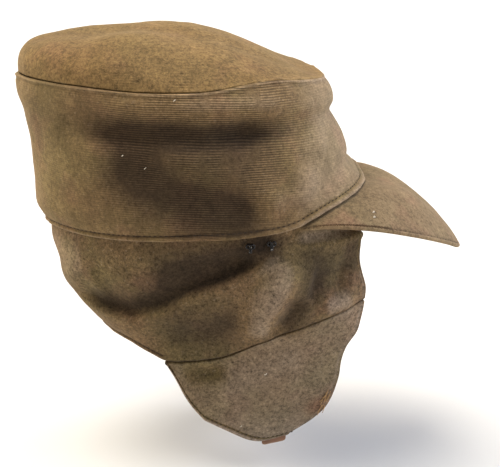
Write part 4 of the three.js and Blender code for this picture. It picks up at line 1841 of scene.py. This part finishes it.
@dataclass
class SkiCap:
    """The whole cap: its finishes, its cloth pieces, its fasteners and its stitching."""

    serge: WoolSerge = WoolSerge(
        "napped_wool_serge", ground="#6f5a3e", olive="#6b5b3c", russet="#70563f", faded="#97826a",
        grime_and_shade="#33271b", grain_contrast=0.85, rib_contrast=0.52, rib_bare=(0.38, 0.52),
    )
    serge_top: WoolSerge = WoolSerge(
        "napped_wool_serge_of_the_top", ground="#715a39", olive="#6d5938", russet="#72573d", faded="#8e744b",
        grime_and_shade="#453624", grain_contrast=1.15, rib_contrast=0.1,
    )
    serge_peak: WoolSerge = WoolSerge(
        "napped_wool_serge_of_the_peak", ground="#736047", olive="#706046", russet="#775b46", faded="#8e785a",
        grime_and_shade="#4a3a29", grain_contrast=1.0, rib_way=(0.6, 0.8, 0.0), rib_contrast=0.12,
        patches=(TintPatch((164, 0, -31), 15, "#a3683f", 0.3),),
    )
    serge_lined: WoolSerge = WoolSerge(
        "napped_wool_serge_of_the_curtain", ground="#67533a", olive="#635539", russet="#68503c",
        faded="#90806f", grime_and_shade="#2c2218", grain_contrast=1.35, rib_way=(1.0, 0.0, 0.0), rib_contrast=0.12,
        patches=(
            # A dark patch of painted shadow under the crown's edge, round the hooks.
            TintPatch((36, -75, -6), 17, "#1d1510", 0.85),
            TintPatch((72, -42, -129), 11, "#82523a", 0.32),
            TintPatch((18, -59, -88), 1.3, "#1c140e", 0.9),
        ),
    )
    leather: TannedLeather = TannedLeather()
    enamel: Japanned = Japanned()
    thread: SpunThread = SpunThread("dark_sewing_thread", light="#3a2e20", dark="#221a12")
    rust_thread: SpunThread = SpunThread("rust_coloured_thread", light="#c4a072", dark="#94704a")
    lint: SpunThread = SpunThread("white_lint", light="#e8e0d0", dark="#b9ab92")
    darning: SpunThread = SpunThread("brown_darning_thread", light="#5d4126", dark="#35230f")
    frayed: LooseFibres = LooseFibres(
        "frayed_chin_threads", "serge_lined", spots=((76, -124), (79, -120), (75, -129)), count=5, length=7.5,
        spread=2.2, radius=0.22, lean=62, seed=1,
    )
    peak_lint: LooseFibres = LooseFibres(
        "peak_lint", "serge_peak", spots=((101, 8), (101, 6)), count=2, length=1.4, spread=0.4, radius=0.28,
        lean=10, seed=2,
    )
    chin_lint: LooseFibres = LooseFibres(
        "chin_lint", "serge_lined", spots=((39, -97), (23, -138)), count=1, length=1.6, spread=0.3,
        radius=0.3, lean=20, seed=3,
    )
    seam_fluff: LooseFibres = LooseFibres(
        "seam_fluff", "serge", spots=((-43, 46), (-12, 78), (-30, 40)), count=1, length=1.6, spread=0.4,
        radius=0.2, lean=30, seed=4,
    )
    hook_places: tuple[tuple[str, Pair], ...] = (("back", (29, -7.5)), ("front", (41, -6.5)))
    nape_share: float = 0.49
    end_margin: int = 4
    zigzag_columns: tuple[tuple[str, int, int], ...] = (("left", 6, 58), ("right", -58, -6))
    sheets: tuple[tuple[str, Pair, float, str], ...] = (
        ("dressed_neck_curtain", (0.52, 0.095), 0.041, "dressed_crown_side"),
        ("dressed_chin_panel_left", (0.125, 0.105), 0.0085, "dressed_neck_curtain"),
        ("dressed_chin_panel_right", (0.125, 0.105), 0.0085, "dressed_neck_curtain"),
    )

    def build(self) -> None:
        for piece in self.pieces():
            LOG.info("%s: %d faces", piece.name, len(piece.data.polygons))
        for name, flat, area, holder in self.sheets:
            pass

    def pieces(self) -> Iterator[Object]:
        """Builds the pieces one after another.

        Yields:
            Each piece.
        """
        serge, lined = self.serge.build(), self.serge_lined.build()
        side, top, peak, curtain = CrownSide(), CrownTop(), Peak(), NeckCurtain()
        panels = [
            ChinPanel(name="dressed_chin_panel_left", stands_for="chin_panel_left", first=1, last=0.5),
            ChinPanel(name="dressed_chin_panel_right", stands_for="chin_panel_right", first=-0.5, last=-1),
        ]
        yield top.build(self.serge_top.build())
        yield side.build(serge)
        yield peak.build(self.serge_peak.build())
        for piece in (curtain, *panels):
            yield piece.build(lined)
        yield ChinTab().build(self.leather.build())
        wire = self.enamel.build()
        for hook_side in HookSide:
            for spot_name, place in self.hook_places:
                yield WireHook(hook_side, spot_name, place).build(wire)
        yield from self.stitch(side, peak, curtain, panels)
        yield self.frayed.build(panels[1], self.rust_thread.build())
        lint = self.lint.build()
        for fibres, piece in ((self.peak_lint, peak), (self.chin_lint, panels[1]), (self.seam_fluff, side)):
            yield fibres.build(piece, lint)

    def stitch(
        self, side: CrownSide, peak: Peak, curtain: NeckCurtain, panels: Sequence[ChinPanel]
    ) -> Iterator[Object]:
        """Sews the turned edge of the crown, the peak's rim and the hems of the curtain and the chin panels.

        Args:
            side: The built crown side.
            peak: The built peak.
            curtain: The built curtain.
            panels: The built chin panels.

        Yields:
            Each row of stitches.
        """
        thread, tree = self.thread.build(), stitch_tree()
        row = side.foot_marks.index(side.stitch_height)
        rows = [StitchRow("crown_edge_stitches", side.outer[row], "serge", seed=1)]
        share = np.abs(lerp(curtain.first, curtain.last, curtain.lay.u[0]))
        row = curtain.foot_marks.index(HEM_GROOVE)
        nape = curtain.outer[row][share < self.nape_share]
        within_ends = slice(self.end_margin, -self.end_margin)
        rows.append(StitchRow("nape_hem_stitches", nape, "serge_lined", seed=2))
        for seed, panel in enumerate(panels, start=3):
            path = panel.outer[panel.foot_marks.index(HEM_GROOVE)][within_ends]
            name = panel.name.replace("dressed_", "") + "_stitches"
            rows.append(StitchRow(name, path, "serge_lined", seed=seed))
        rim = peak.outer[-1 - peak.top_marks.index(peak.stitch_inset)][within_ends]
        rows.append(
            StitchRow("peak_rim_stitches", rim, "serge_peak", pitch=3.4, length=1.8, thickness=0.4, seed=7)
        )
        for stitches in rows:
            yield stitches.build(tree, thread)
        low, high = (peak.outer[-1 - peak.top_marks.index(mark)] for mark in peak.zigzag_marks)
        darning = self.darning.build()
        for side_name, first, last in self.zigzag_columns:
            ends = low[first:last:2], high[first + 1 : last : 2]
            zigzag = StitchRow(
                f"peak_zigzag_stitches_{side_name}", np.stack(ends, axis=1).reshape(-1, 3), "serge_peak",
                pitch=1.1, length=1.3, thickness=0.45, unevenness=0.05, seed=8,
            )
            yield zigzag.build(tree, darning)


def main() -> None:
    """Builds the studio and the cap."""
    logging.basicConfig(level=logging.INFO, format="%(name)s %(message)s")
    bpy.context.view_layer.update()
    studio = Studio()
    studio.build_camera()
    SkiCap().build()
    studio.build_lights()
    studio.build_floor(MattPaper().build())


if __name__ == "__main__":
    main()
